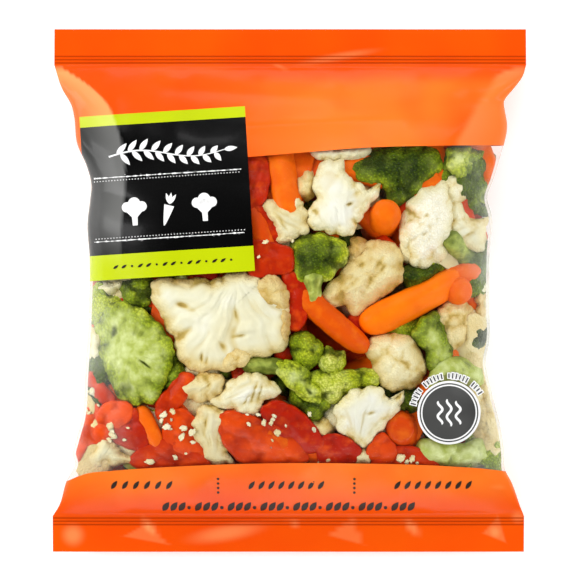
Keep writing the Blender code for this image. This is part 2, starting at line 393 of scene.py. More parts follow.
def region_of(x, y, z, facing_up):
    """Name of the film piece that a face belongs to."""
    across, up = label_frame(x, y)
    on_label = abs(across) < LABEL_HALF[0] and abs(up) < LABEL_HALF[1]
    if on_label and z > label_wrap(x, y) and (facing_up or x < -80.0 * MM):
        lime = up > LABEL_HALF[1] - LIME_TOP or up < LIME_BOTTOM - LABEL_HALF[1]
        return "label_lime" if lime else "label_black"
    printed = y > border(x, HEADER_EDGE_MM) or y < border(x, FOOTER_EDGE_MM)
    return "printed_ends" if printed else "window_film"


def painted_highlight_share(points):
    """How much painted highlight each point gets: in the two upper corner facets of the front, and in the
    painted glints.
    """
    x, y, z = points.T
    past_left = (outline(y, FACET_LEFT_MM) - x) / MM
    past_right = (x - outline(y, FACET_RIGHT_MM)) / MM
    left = ease(past_left / 1.6) * (1.0 - 0.75 * ease(past_left / 22.0)) * ease((y / MM - 8.0) / 30.0)
    right = ease(past_right / 5.0) * (1.0 - 0.5 * ease(past_right / 30.0)) * ease((y / MM - 50.0) / 20.0)
    inside = ease((BODY_END - np.abs(y)) / (3.0 * MM))
    return np.maximum(np.maximum(left, 0.55 * right) * inside, painted_glint_share(x, y)) * (z > side_height(x, y))


def painted_glint_share(x, y):
    """How much painted highlight each place gets from the pale spots and the three-cornered patches on the
    bottom seal.
    """
    total = np.zeros(len(x))
    for px, py, half_length, half_width, angle, strength in PAINTED_GLINTS:
        centre_x, centre_y = from_pixel(px, py)
        dx, dy = (x / MM - centre_x) / MM_PER_PIXEL, (y / MM - centre_y) / MM_PER_PIXEL
        c, s = math.cos(math.radians(angle)), math.sin(math.radians(angle))
        away = np.hypot((dx * c + dy * s) / half_length, (dy * c - dx * s) / half_width)
        total += strength * ease(1.15 - away)
    for *corners, strength in PAINTED_SEAL_FACETS:
        depth = depth_inside(x, y, [pixel_point(*p) for p in corners])
        total += strength * ease(depth / (1.4 * MM))
    return np.minimum(total, 1.0)


def depth_inside(x, y, corners):
    """Distance from the nearest side of a triangle, above zero inside it."""
    middle = sum(corners) / 3
    depth = np.full(len(x), 1.0)
    for start, end in zip(corners, corners[1:] + corners[:1]):
        across = np.array([start[1] - end[1], end[0] - start[0]]) / np.linalg.norm(end - start)
        across *= math.copysign(1.0, (middle - start) @ across)
        depth = np.minimum(depth, (x - start[0]) * across[0] + (y - start[1]) * across[1])
    return depth


def painted_sheen_share(points):
    """How far a soft highlight is painted onto the print as paler orange: along the footer, and to the
    right on the header.
    """
    x, y, _ = points.T
    off_seal = (BODY_END - 2.0 * MM - np.abs(y)) / MM
    return np.where(y < 0.0, ease(off_seal / 17.0), ease(off_seal / 9.0) * ease((x / MM + 50.0) / 75.0))


def new_object(name, points, faces, material, normals=None):
    """A smooth mesh object, with its own normals if some are given."""
    mesh = bpy.data.meshes.new(name)
    mesh.from_pydata([tuple(p) for p in points], [], [tuple(f) for f in faces])
    mesh.update()
    mesh.shade_smooth()
    if normals is not None:
        mesh.normals_split_custom_set_from_vertices([tuple(n) for n in normals])
    mesh.materials.append(material)
    thing = bpy.data.objects.new(name, mesh)
    bpy.context.scene.collection.objects.link(thing)
    return thing


def film_pieces(materials):
    """The film as one object for each printed region, with normals that run on across the borders."""
    bm = film_skin()
    cut_borders(bm)
    bm.normal_update()
    bm.verts.index_update()
    groups = {name: [] for name in materials}
    for face in bm.faces:
        middle = face.calc_center_median()
        name = region_of(*middle, face.normal.z > 0.0)
        groups[name].append([vert.index for vert in face.verts])
    points = np.array([vert.co for vert in bm.verts])
    normals = np.array([vert.normal for vert in bm.verts])
    bm.free()
    pieces = {}
    for name, faces in groups.items():
        used = sorted({index for face in faces for index in face})
        place = {index: i for i, index in enumerate(used)}
        faces = [[place[index] for index in face] for face in faces]
        spots = points[used]
        piece = new_object(name, spots, faces, materials[name], normals[used])
        # The ink is darkened along the pressed lines: painted shade in the grooves
        store(piece, "pressed", pressed_share(np.abs(spots[:, 1]) - BODY_END))
        store(piece, "painted_sheen", painted_sheen_share(spots))
        # Painted highlight: how far the ink turns pale in the corner facets and glints
        store(piece, "painted_highlight", painted_highlight_share(spots))
        # Painted reflection at the bag's sides
        store(piece, "painted_reflection", SIDE_REFLECTION_PAINTED * ease((np.abs(spots[:, 0]) / MM - 72.0) / 26.0))
        pieces[name] = piece
    return pieces


def store(thing, name, values):
    """Keeps one value for each point of a mesh, for its material to read."""
    kept = thing.data.attributes.new(name, "FLOAT", "POINT")
    kept.data.foreach_set("value", np.asarray(values, np.float32))


# Flat print laid on the front film


class Print:
    """Collects flat shapes and lays them on the front film as one piece."""

    def __init__(self, lift):
        self.lift = lift
        self.points = []
        self.faces = []

    def grid(self, rows):
        """Quads between equally long rows of (x, y) points."""
        base = len(self.points)
        width = len(rows[0])
        for row in rows:
            self.points += row
        for r in range(len(rows) - 1):
            for c in range(width - 1):
                a = base + r * width + c
                self.faces.append((a, a + 1, a + width + 1, a + width))

    def stroke(self, path, half_widths):
        """A band along a path of (x, y) points."""
        path = np.array(path, float)
        along = np.gradient(path, axis=0)
        along /= np.linalg.norm(along, axis=1)[:, None]
        side = np.stack([-along[:, 1], along[:, 0]], axis=1) * np.asarray(half_widths)[:, None]
        self.grid([[tuple(p - s), tuple(p), tuple(p + s)] for p, s in zip(path, side)])

    def ring(self, centre, inner, outer, segments=72):
        """A flat ring, or a disc where inner is zero."""
        steps = max(2, int(round((outer - inner) / (1.0 * MM))) + 1)
        rows = []
        for radius in np.linspace(max(inner, 0.02 * MM), outer, steps):
            turns = np.linspace(0.0, 2 * math.pi, segments + 1)
            row = [(centre[0] + radius * math.cos(t), centre[1] + radius * math.sin(t)) for t in turns]
            rows.append(row)
        self.grid(rows[::-1])

    def leaf(self, root, angle, length, width):
        """A pointed leaf shape that grows from its root."""
        t = np.linspace(0.0, 1.0, max(7, int(length / (0.7 * MM))))
        way = (math.cos(angle), math.sin(angle))
        path = [(root[0] + length * s * way[0], root[1] + length * s * way[1]) for s in t]
        self.stroke(path, 0.02 * MM + width / 2 * np.sin(math.pi * t**0.85) ** 0.9)

    def piece(self, name, material):
        """The finished piece, just above the film."""
        x, y = np.array(self.points).T
        left, front, right = (film_span(x + step * MM, y)[0] for step in (-1.2, 0.0, 1.2))
        height = np.maximum(front, (left + right) / 2) + self.lift
        return new_object(name, np.column_stack([x, y, height]), self.faces, material)


def chalk_line(out, start, end, rng):
    """A rough chalk stroke with flecks beside it, between two points of the photograph."""
    a, b = pixel_point(*start), pixel_point(*end)
    t = np.linspace(0.0, 1.0, 120)
    wobble = np.cumsum([rng.uniform(-1.0, 1.0) for _ in t]) * 0.018 * MM
    path = a + np.outer(t, b - a) + np.column_stack([wobble * 0.0, wobble])
    widths = [max(0.03, rng.gauss(0.20, 0.11)) * MM for _ in t]
    out.stroke(path, widths)
    for _ in range(46):
        s = rng.random()
        spot = a + s * (b - a) + np.array([0.0, rng.gauss(0.0, 0.42) * MM])
        out.ring(spot, 0.0, rng.uniform(0.06, 0.17) * MM, 6)


def dotted_line(out, start, end, count, radius):
    """A row of dots between two points of the photograph."""
    a, b = pixel_point(*start), pixel_point(*end)
    for s in np.linspace(0.0, 1.0, count):
        out.ring(a + s * (b - a), 0.0, radius, 10)


def printed_shapes(materials):
    """White and dark print: chalk rules and a sprig on the label, dots and leaves on the footer."""
    rng = random.Random(11)
    white = Print(0.11 * MM)
    chalk_line(white, (95, 179.4), (241.5, 170.2), rng)
    dotted_line(white, (95.5, 182.6), (239.5, 173.2), 50, 0.26 * MM)
    dotted_line(white, (97.5, 239.6), (245, 230.4), 50, 0.26 * MM)
    chalk_line(white, (95.5, 242.6), (245, 233.2), rng)
    label_sprig(white, rng)
    label_icons(white)
    dark = Print(0.16 * MM)
    lime_band_row(dark)
    footer_rows(dark)
    return [white.piece("label_print", materials["white"]), dark.piece("dark_print", materials["dark"])]


def label_sprig(out, rng):
    """A leafy sprig drawn across the upper part of the label."""
    stem = []
    for t in np.linspace(0.0, 1.0, 60):
        across = (-27.0 + 56.0 * t) * MM
        up = (19.5 + 2.2 * math.sin(2 * math.pi * t)) * MM
        stem.append(label_point(across, up))
    out.stroke(stem, np.linspace(0.42, 0.18, 60) * MM)
    for i in range(4, 56, 6):
        lean = LABEL_TURN + rng.uniform(-0.1, 0.1)
        length = (7.6 - 0.045 * i) * MM
        out.leaf(stem[i], lean + 0.85, length, 2.6 * MM)
        out.leaf(stem[i + 2], lean - 0.85, length, 2.6 * MM)
    out.leaf(stem[-1], LABEL_TURN + 0.1, 6.5 * MM, 2.4 * MM)


def label_icons(out):
    """Three plain vegetable shapes in the middle of the label: floret, carrot, floret."""
    for across in (-16.0, 18.0):
        floret_icon(out, across, -7.5)
    carrot_icon(out, 1.0, -7.5)


def floret_icon(out, across, up):
    """A round-headed floret on a short stalk."""
    for dx, dy, radius in ((-3.6, 2.0, 2.5), (0.0, 3.6, 3.0), (3.6, 2.0, 2.5), (0.0, 1.0, 2.6)):
        out.ring(label_point((across + dx) * MM, (up + dy) * MM), 0.0, radius * MM, 28)
    t = np.linspace(0.0, 1.0, 10)
    stalk = [label_point(across * MM, (up - 7.0 * s) * MM) for s in t]
    out.stroke(stalk, (1.5 - 0.3 * t) * MM)
    for side in (-1, 1):
        arm = [label_point((across + side * 3.2 * s) * MM, (up - 3.4 + 3.4 * s) * MM) for s in t]
        out.stroke(arm, 0.7 * MM * np.ones(10))


def carrot_icon(out, across, up):
    """A carrot with three short leaves."""
    t = np.linspace(0.0, 1.0, 16)
    body = [label_point((across - 3.0 * s) * MM, (up + 1.6 - 9.6 * s) * MM) for s in t]
    out.stroke(body, (0.15 + 2.3 * (1.0 - t) ** 0.75) * MM)
    root = label_point((across + 0.2) * MM, (up + 2.2) * MM)
    for lean in (-0.45, 0.0, 0.45):
        out.leaf(root, math.pi / 2 + LABEL_TURN - 0.2 + lean, 5.6 * MM, 1.7 * MM)


def lime_band_row(out):
    """A row of small leaves and dots on the lower lime band."""
    up = LIME_BOTTOM / 2 - LABEL_HALF[1]
    for i in range(15):
        across = (-28.0 + 4.0 * i) * MM
        if i % 3 == 2:
            out.ring(label_point(across + 1.2 * MM, up), 0.0, 0.55 * MM, 14)
        else:
            out.leaf(label_point(across, up - 0.8 * MM), LABEL_TURN + 0.55, 3.1 * MM, 1.2 * MM)


def footer_rows(out):
    """Groups of leaves between dotted dividers, and one longer row below them."""
    for left, right in ((109, 174), (246, 325), (391, 472)):
        for px in np.linspace(left + 3, right - 7, int((right - left) / 9.5)):
            out.leaf(pixel_point(px, 488.2), 0.95, 5.0 * MM, 2.0 * MM)
    for px in (218.5, 354.0):
        for py in (477.8, 482.4, 487.0, 491.6):
            out.ring(pixel_point(px, py), 0.0, 0.62 * MM, 12)
    for i, px in enumerate(np.linspace(163, 408, 31)):
        if i % 4 == 3:
            out.ring(pixel_point(px, 510.5) + np.array([0.9, 1.6]) * MM, 0.0, 0.85 * MM, 16)
        else:
            out.leaf(pixel_point(px, 510.5), 0.95, 5.4 * MM, 2.9 * MM)


def badge(materials):
    """Round badge: a white rim, a dark disc, a thin white circle and three wavy lines."""
    rim = Print(0.10 * MM)
    rim.ring(BADGE_CENTRE, 0.0, BADGE_RIM, 96)
    disc = Print(0.17 * MM)
    disc.ring(BADGE_CENTRE, 0.0, BADGE_DISC, 96)
    lines = Print(0.25 * MM)
    lines.ring(BADGE_CENTRE, *BADGE_CIRCLE, 96)
    for row in (-1, 0, 1):
        t = np.linspace(-1.0, 1.0, 40)
        reach = (6.6 - 0.9 * abs(row)) * MM
        middle = BADGE_CENTRE[0] + row * WAVE_PITCH
        path = [(middle + WAVE_SWAY * math.sin(5.4 * s), BADGE_CENTRE[1] + reach * s) for s in t]
        lines.stroke(path, WAVE_HALF_WIDTH * np.sqrt(np.clip(1.02 - t**8, 0.05, 1.0)))
    badge_arc(rim, 3.7 * MM, 0.85 * MM)
    badge_arc(disc, 2.6 * MM, 0.34 * MM)
    return [
        rim.piece("badge_rim", materials["white"]),
        disc.piece("badge_disc", materials["badge"]),
        lines.piece("badge_lines", materials["white"]),
    ]


def badge_arc(out, length, half_width):
    """Short bars in an arc over the badge."""
    for i, degrees in enumerate(np.linspace(166.0, 32.0, 24)):
        if i % 7 == 5:
            continue
        turn = math.radians(degrees)
        way = np.array([math.cos(turn), math.sin(turn)])
        tall = length * (1.0 - 0.18 * (i % 3 == 1))
        path = [np.array(BADGE_CENTRE) + way * (BADGE_ARC + tall * s) for s in (-0.5, 0.0, 0.5)]
        out.stroke(path, half_width * np.ones(3))


def back_seam(material):
    """The lap seam down the middle of the back, one more layer of film."""
    rows = []
    for y in np.linspace(-BODY_END, BODY_END, 130):
        xs = np.linspace(-5.0, 5.0, 9) * MM + 2.0 * MM
        _, back = film_span(xs, np.full_like(xs, y))
        rows.append([(x, y, z - 0.12 * MM) for x, z in zip(xs, back)])
    points = [p for row in rows for p in row]
    faces = []
    for r in range(len(rows) - 1):
        for c in range(8):
            a = r * 9 + c
            faces.append((a, a + 9, a + 10, a + 1))
    return new_object("back_seam", points, faces, material)


# Vegetable shapes, one unit wide, trunk down and head up


# Turn from one place to the next on an evenly covered dome or ball
GOLDEN_TURN = 2.39996


def direction(polar, turn):
    """Unit vector at an angle from +Z, turned about it."""
    return math.sin(polar) * math.cos(turn), math.sin(polar) * math.sin(turn), math.cos(polar)


def skin_round(spheres, rods, voxel):
    """One closed skin round spheres (centre, radius) and tapered rods, as points, quads and normals."""
    bm = bmesh.new()
    for centre, radius in spheres:
        matrix = Matrix.Translation(Vector(centre))
        bmesh.ops.create_icosphere(bm, subdivisions=2, radius=radius, matrix=matrix)
    for start, end, radius_start, radius_end in rods:
        axis = Vector(end) - Vector(start)
        turn = axis.to_track_quat("Z", "Y").to_matrix().to_4x4()
        matrix = Matrix.Translation((Vector(start) + Vector(end)) / 2) @ turn
        bmesh.ops.create_cone(
            bm, cap_ends=True, segments=14, radius1=radius_start, radius2=radius_end,
            depth=axis.length, matrix=matrix,
        )
        tip = Matrix.Translation(Vector(end))
        bmesh.ops.create_icosphere(bm, subdivisions=2, radius=radius_end, matrix=tip)
    mesh = bpy.data.meshes.new("rough")
    bm.to_mesh(mesh)
    bm.free()
    thing = bpy.data.objects.new("rough", mesh)
    bpy.context.scene.collection.objects.link(thing)
    remesh = thing.modifiers.new("skin", "REMESH")
    remesh.mode = "VOXEL"
    remesh.voxel_size = voxel
    shape = read_mesh(thing)
    bpy.data.objects.remove(thing, do_unlink=True)
    bpy.data.meshes.remove(mesh)
    return shape


def read_mesh(thing):
    """Points and quads of an object with its modifiers."""
    graph = bpy.context.evaluated_depsgraph_get()
    final = thing.evaluated_get(graph).to_mesh()
    points = np.empty(len(final.vertices) * 3)
    final.vertices.foreach_get("co", points)
    faces = [tuple(polygon.vertices) for polygon in final.polygons]
    thing.evaluated_get(graph).to_mesh_clear()
    return points.reshape(-1, 3), np.array(faces)


def face_normals(points, quads):
    """Normal of each quad, longer for a larger quad."""
    return np.cross(points[quads[:, 2]] - points[quads[:, 0]], points[quads[:, 3]] - points[quads[:, 1]])


def point_normals(points, quads):
    """Unit normal at each point."""
    normals = np.zeros_like(points)
    flat = face_normals(points, quads)
    for corner in range(4):
        np.add.at(normals, quads[:, corner], flat)
    return normals / np.maximum(np.linalg.norm(normals, axis=1), 1e-12)[:, None]


def smoothed(points, quads, rounds):
    """The points after a few rounds of moving each to the mean of its neighbours."""
    pairs = np.concatenate([quads[:, [i, (i + 1) % 4]] for i in range(4)])
    counts = np.bincount(pairs.ravel(), minlength=len(points))[:, None]
    for _ in range(rounds):
        total = np.zeros_like(points)
        np.add.at(total, pairs[:, 0], points[pairs[:, 1]])
        np.add.at(total, pairs[:, 1], points[pairs[:, 0]])
        points = 0.45 * points + 0.55 * total / np.maximum(counts, 1)
    return points


def grain(points, cell, offset):
    """Rounded grains: 1 in the middle of each cell, 0 at the borders."""
    values = []
    for point in points / cell + offset:
        nearest = noise.voronoi(Vector(point), distance_metric="DISTANCE", exponent=2.5)[0][0]
        values.append(1.0 - 1.5 * min(nearest, 0.8) ** 2)
    return np.array(values)


def swirl(points, cell, offset):
    """Soft noise from about -1 to 1."""
    return np.array([noise.noise(Vector(point)) for point in points / cell + offset])


def distance_to_rods(points, rods):
    """Distance from each point to the surface of the nearest rod."""
    nearest = np.full(len(points), 9.0)
    for start, end, radius_start, radius_end in rods:
        start, end = np.array(start), np.array(end)
        axis = end - start
        t = np.clip((points - start) @ axis / (axis @ axis), 0.0, 1.0)
        gap = np.linalg.norm(points - start - t[:, None] * axis, axis=1)
        nearest = np.minimum(nearest, gap - radius_start - (radius_end - radius_start) * t)
    return nearest


def distance_to_spheres(points, spheres):
    """Distance from each point to the surface of the nearest sphere."""
    nearest = np.full(len(points), 9.0)
    for centre, radius in spheres:
        nearest = np.minimum(nearest, np.linalg.norm(points - np.array(centre), axis=1) - radius)
    return nearest


class Shape:
    """A vegetable shape: points, quads and how far each point is head, and raised."""

    def __init__(self, points, quads, head, raised):
        self.points = points
        self.quads = quads
        self.head = head
        self.raised = raised


def finish_shape(spheres, rods, voxel, size, grain_mm, depth_mm, seed):
    """Skins the parts, adds the grain of the head, and marks head and raised points."""
    points, quads = skin_round(spheres, rods, voxel)
    points = smoothed(points, quads, 1)
    to_head = distance_to_spheres(points, spheres)
    to_stem = distance_to_rods(points, rods) if rods else np.full(len(points), 9.0)
    head = ease((to_stem - to_head) * size / 2.2 + 0.35)
    base = smoothed(points, quads, 8)
    normals = point_normals(points, quads)
    offset = np.array([seed * 3.1, seed * 1.7, seed * 5.3])
    grains = grain(points, grain_mm / size, offset)
    wave = swirl(points, 9.0 / size, offset)
    push = head * (grains - 0.55) * depth_mm + 0.5 * wave
    points = points + normals * (push / size)[:, None]
    raised = np.einsum("ij,ij->i", points - base, normals) * size
    return Shape(points, quads, head, raised)


def spread_directions(count, rng):
    """Evenly spread directions, turned at random."""
    shift = rng.uniform(0.0, 2 * math.pi)
    rows = []
    for i in range(count):
        z = 1.0 - 2.0 * (i + 0.5) / count
        flat = math.sqrt(1.0 - z * z)
        turn = i * GOLDEN_TURN + shift
        rows.append(np.array([flat * math.cos(turn), flat * math.sin(turn), z]))
    return rows


def curl(foot, way, reach):
    """Rods of a leaf stump that bends up beside the trunk."""
    side = np.array([math.cos(way), math.sin(way), 0.0])
    up = np.array([0.0, 0.0, 1.1])
    path = [foot + side * reach * s + up * reach * s * s for s in (0.0, 0.4, 0.75, 1.0)]
    radii = (0.085, 0.065, 0.04, 0.018)
    return [(path[i], path[i + 1], radii[i], radii[i + 1]) for i in range(3)]


def floret(
    seed, lobes, bumps, reach, lobe, bump, trunk, spread, curls, size, voxel_mm, grain_mm, depth_mm
):
    """A floret one unit wide: a trunk that branches into a dome of lobes, each covered in bumps."""
    rng = random.Random(seed)
    fork = np.array([0.0, 0.0, -0.12])
    foot = np.array([rng.uniform(-0.06, 0.06), rng.uniform(-0.06, 0.06), -trunk[0]])
    rods = [(foot, fork, trunk[1] * 0.95, trunk[1])]
    for way in curls:
        rods += curl(foot + np.array([0.0, 0.0, 0.08]), way, 0.34)
    spheres = [(np.array([0.0, 0.0, 0.02]), reach * 0.92)]
    for i in range(lobes):
        polar = spread * math.sqrt((i + 0.4) / lobes)
        turn = i * GOLDEN_TURN + rng.uniform(-0.3, 0.3)
        way = np.array(direction(polar, turn))
        centre = way * reach * rng.uniform(0.88, 1.12)
        centre[2] *= 0.82
        radius = lobe * rng.uniform(0.80, 1.15)
        rods.append((fork + way * 0.03, centre, trunk[1] * 0.6, trunk[1] * 0.5))
        spheres.append((centre, radius))
        for side in spread_directions(bumps, rng):
            if side @ way > -0.3:
                spheres.append((centre + side * radius * 0.86, radius * bump * rng.uniform(0.8, 1.2)))
    return finish_shape(spheres, rods, voxel_mm / size, size, grain_mm, depth_mm, seed)


def carrot(seed, length, radius, around=24, along=36):
    """A peeled baby carrot in millimetres along X, blunt at both ends, slightly bent and ringed."""
    rng = random.Random(seed)
    bend = rng.uniform(-1.6, 1.6)
    taper = rng.uniform(0.10, 0.26)
    rows = []
    for i in range(along + 1):
        s = -1.0 + 2.0 * i / along
        x = length / 2 * math.sin(s * math.pi / 2 * 0.999)
        blunt = (1.0 - min(abs(x) / (length / 2), 1.0) ** 5.5) ** 0.5
        ring = radius * blunt * (1.0 - taper * x / length * 2 * 0.5)
        ring *= 1.0 + 0.012 * math.sin(x * 2.1 + seed) + 0.02 * noise.noise(Vector((x * 0.25, seed, 0.0)))
        row = []
        for j in range(around):
            turn = 2 * math.pi * j / around
            spot = Vector((x * 0.08, math.cos(turn) * 1.3, math.sin(turn) * 1.3 + seed))
            wave = 1.0 + 0.05 * noise.noise(spot)
            y = ring * wave * math.cos(turn) + bend * (1.0 - (2 * x / length) ** 2)
            row.append((x, y, ring * wave * math.sin(turn)))
        rows.append(row)
    return tube_shape(rows)


def tube_shape(rows):
    """A closed tube through rows of points, as a shape."""
    count = len(rows[0])
    points = np.array([p for row in rows for p in row])
    quads = []
    for r in range(len(rows) - 1):
        for c in range(count):
            d = (c + 1) % count
            quads.append((r * count + c, r * count + d, (r + 1) * count + d, (r + 1) * count + c))
    quads = np.array(quads)
    ends = np.zeros(len(points))
    return Shape(points, quads, ends, ends.copy())


def pepper(seed, length, width, thick, around=18, along=14):
    """A strip of pepper in millimetres: a curved slab with a rounded rim, skin side up."""
    rng = random.Random(seed)
    bow = rng.uniform(0.25, 0.55)
    twist = rng.uniform(-0.35, 0.35)
    rows = []
    for i in range(along + 1):
        s = -1.0 + 2.0 * i / along
        x = length / 2 * math.sin(s * math.pi / 2)
        uneven = 1.0 + 0.22 * noise.noise(Vector((s * 1.6, seed, 3.0)))
        shrink = max(0.02, (1.0 - abs(s) ** 4) ** 0.5) * uneven
        row = []
        for j in range(around):
            turn = 2 * math.pi * j / around
            c, d = math.cos(turn), math.sin(turn)
            y = width / 2 * shrink * math.copysign(abs(c) ** 0.8, c)
            z = thick / 2 * shrink * math.copysign(abs(d) ** 0.85, d)
            z += -bow * (x * x / length + y * y / width) + twist * x * y / length
            z += 0.8 * noise.noise(Vector((x * 0.12, y * 0.12, seed)))
            y *= 1.0 + 0.16 * noise.noise(Vector((x * 0.16, seed, 1.0)))
            row.append((x, y, z))
        rows.append(row)
    return tube_shape(rows)


def crumb(seed):
    """A small broken crumb of curd, one millimetre across."""
    rng = random.Random(seed)
    rows = []
    for i in range(8):
        polar = math.pi * (i + 0.02) / 7.04
        row = []
        for j in range(10):
            turn = 2 * math.pi * j / 10
            spot = Vector(direction(polar, turn))
            r = 0.42 + 0.34 * noise.noise(spot * 1.9 + Vector((seed * 4.7, 0.0, 0.0)))
            row.append((spot.x * r * 1.2, spot.y * r, spot.z * r * 0.7))
        rows.append(row)
    shape = tube_shape(rows)
    shape.head = np.ones(len(shape.points))
    shape.raised = np.array([rng.uniform(0.2, 1.0)] * len(shape.points))
    return shape


# Pieces pressed against the front film: an outline over the photograph and a sculpted face

# Sizes in millimetres: half thickness, dome, back, rounding of the rim, width and depth of lobes,
# width and depth of grains, depth of the lines that fan out, unevenness of the outline, how far the
# head reaches from the rim, and a scale for the outline
Look = namedtuple(
    "Look", "thick dome back edge cell depth grain_cell grain_depth lines scallop head_reach spread"
)
LOOKS = {
    "slice": Look(5.0, 1.5, 9.0, 4.0, 5.6, 1.9, 2.3, 1.1, 0.70, 2.0, 7.0, 1.02),
    "lobe": Look(3.2, 1.6, 3.0, 3.4, 5.0, 1.5, 2.2, 0.9, 0.0, 1.2, 99.0, 1.03),
    "curd": Look(5.0, 5.0, 9.0, 7.5, 6.4, 2.3, 2.5, 0.9, 0.0, 1.8, 99.0, 1.03),
    "beads": Look(4.5, 4.0, 8.0, 6.0, 7.2, 2.5, 1.9, 0.8, 0.0, 1.9, 99.0, 1.05),
    "open": Look(4.5, 1.5, 8.0, 4.0, 5.5, 1.8, 1.9, 1.0, 0.45, 1.5, 9.5, 1.02),
    "stalk": Look(3.5, 2.5, 6.0, 4.5, 9.0, 0.9, 3.0, 0.25, 0.5, 0.6, 0.0, 1.0),
    "strip": Look(2.8, 0.8, 3.4, 1.6, 8.0, 1.7, 3.2, 0.35, 0.0, 1.4, 0.0, 1.12),
}
# Pieces high in the bag are nearer to the camera and look this much larger
NEARNESS = 1.011


def photo_mm(points):
    """Points of the photograph in millimetres on the front film."""
    return np.array([from_pixel(*p) for p in points]) / NEARNESS


def smooth_loop(points, pitch):
    """Evenly spaced points on a smooth closed curve through the given ones, turning to the left."""
    x, y = points.T
    if np.sum(x * np.roll(y, -1) - np.roll(x, -1) * y) < 0.0:
        points = points[::-1]
    t = np.linspace(0.0, 1.0, 24, endpoint=False)[:, None]
    parts = []
    for i in range(len(points)):
        a, b, c, d = (points[(i + k) % len(points)] for k in (-1, 0, 1, 2))
        bend = (2 * a - 5 * b + 4 * c - d) * t**2 + (3 * b - a - 3 * c + d) * t**3
        parts.append(b + 0.5 * ((c - a) * t + bend))
    loop = np.concatenate(parts + [points[:1]])
    along = np.concatenate([[0.0], np.cumsum(np.linalg.norm(np.diff(loop, axis=0), axis=1))])
    count = 2 * int(along[-1] / pitch / 2)
    at = np.linspace(0.0, along[-1], count, endpoint=False)
    return np.column_stack([np.interp(at, along, loop[:, 0]), np.interp(at, along, loop[:, 1])])


def ring_shares(count):
    """Sizes of rings from the core to the rim, closer together at the rim."""
    u = np.linspace(0.02, 1.0, count)
    return 0.6 * u + 0.4 * np.sin(math.pi / 2 * u)


def distance_to_loop(points, loop):
    """Distance from each (x, y) to the nearest point of a loop."""
    gaps = [np.min(np.hypot(x - loop[:, 0], y - loop[:, 1])) for x, y in points]
    return np.array(gaps)


def noise_plane(xy, seed):
    """Points in a plane of the noise that belongs to a seed."""
    return np.column_stack([xy, np.full(len(xy), seed * 37.0)])


def fan_lines(xy, stem, seed):
    """Branches and fibres that fan out from a stem, from -1 to 1."""
    away = xy - stem
    turn = np.arctan2(away[:, 1], away[:, 0])
    bend = swirl(noise_plane(xy, seed), 10.0, np.zeros(3))
    broad = np.sin(13 * turn + 4.0 * bend)
    fine = np.sin(41 * turn + 6.0 * bend)
    return (0.8 * broad + 0.35 * fine) * ease(np.hypot(*away.T) / 9.0 - 0.3)


def dents(xy, marks):
    """Slits and swellings, given as pixel x, y, length, width, angle and height."""
    total = np.zeros(len(xy))
    for px, py, length, width, angle, height in marks:
        dx, dy = (xy - photo_mm([(px, py)])[0]).T
        c, s = math.cos(math.radians(angle)), math.sin(math.radians(angle))
        along, across = (dx * c + dy * s) / (length / 2), (dy * c - dx * s) / (width / 2)
        across = across + 0.5 * swirl(noise_plane(xy, px), 4.0, np.zeros(3))
        total += height * np.exp(-(along**2 + across**2))
    return total


def pressed_piece(look, outline_px, core, stem, marks, pitch, seed):
    """A closed piece in millimetres, drawn by the outline of its face, with z 0 at the face."""
    core, stem = photo_mm([core, stem])
    rim = smooth_loop(core + (photo_mm(outline_px) - core) * look.spread, pitch)
    away = rim - core
    lobes = grain(noise_plane(rim, seed), look.cell, np.zeros(3))
    grains = grain(noise_plane(rim, seed), look.grain_cell, np.zeros(3))
    push = (lobes - 0.6) * look.scallop + (grains - 0.6) * 0.6 * look.grain_depth
    rim = rim + away / np.linalg.norm(away, axis=1)[:, None] * push[:, None]
    front = ring_shares(int(np.linalg.norm(away, axis=1).max() / pitch) + 3)
    back = ring_shares(7)[-2::-1]
    xy = (core + np.concatenate([front, back])[:, None, None] * (rim - core)).reshape(-1, 2)
    facing = np.repeat([1.0, -1.0], [len(front) * len(rim), len(back) * len(rim)])
    gap = distance_to_loop(xy, rim)
    roundness = np.sqrt(1.0 - (1.0 - np.clip(gap / look.edge, 0.0, 1.0)) ** 2)
    ragged = gap + 0.45 * look.head_reach * swirl(noise_plane(xy, seed + 3), 6.0, np.zeros(3))
    head = 1.0 - ease(ragged / look.head_reach) if look.head_reach else np.zeros(len(xy))
    lobes = grain(noise_plane(xy, seed), look.cell, np.zeros(3))
    grains = grain(noise_plane(xy, seed), look.grain_cell, np.zeros(3))
    rough = (lobes - 0.6) * look.depth + (grains - 0.6) * look.grain_depth
    share = head if look.head_reach else np.ones(len(xy))
    carve = share * rough + look.lines * (1.0 - head) * fan_lines(xy, stem, seed) + dents(xy, marks)
    face = look.thick * roundness + look.dome * ease(gap / gap.max()) + carve * roundness
    z = np.where(facing > 0, face, -look.back * np.sqrt(roundness)) - look.thick - look.dome
    quads = loop_quads(len(front) + len(back), len(rim))
    shape = Shape(np.column_stack([xy, z]), quads, head, carve - 0.5 * (1.0 - roundness))
    shape.rim = 1.0 - ease(gap / 8.0)
    return shape


def loop_quads(rings, count):
    """Quads of a closed skin through rings, with both small end rings capped."""
    quads = []
    for r in range(rings - 1):
        for c in range(count):
            d = (c + 1) % count
            quads.append((r * count + c, (r + 1) * count + c, (r + 1) * count + d, r * count + d))
    last = (rings - 1) * count
    for i in range(count // 2 - 1):
        quads.append((i, i + 1, count - i - 2, count - i - 1))
        quads.append((last + count - i - 1, last + count - i - 2, last + i + 1, last + i))
    return np.array(quads)


# Materials

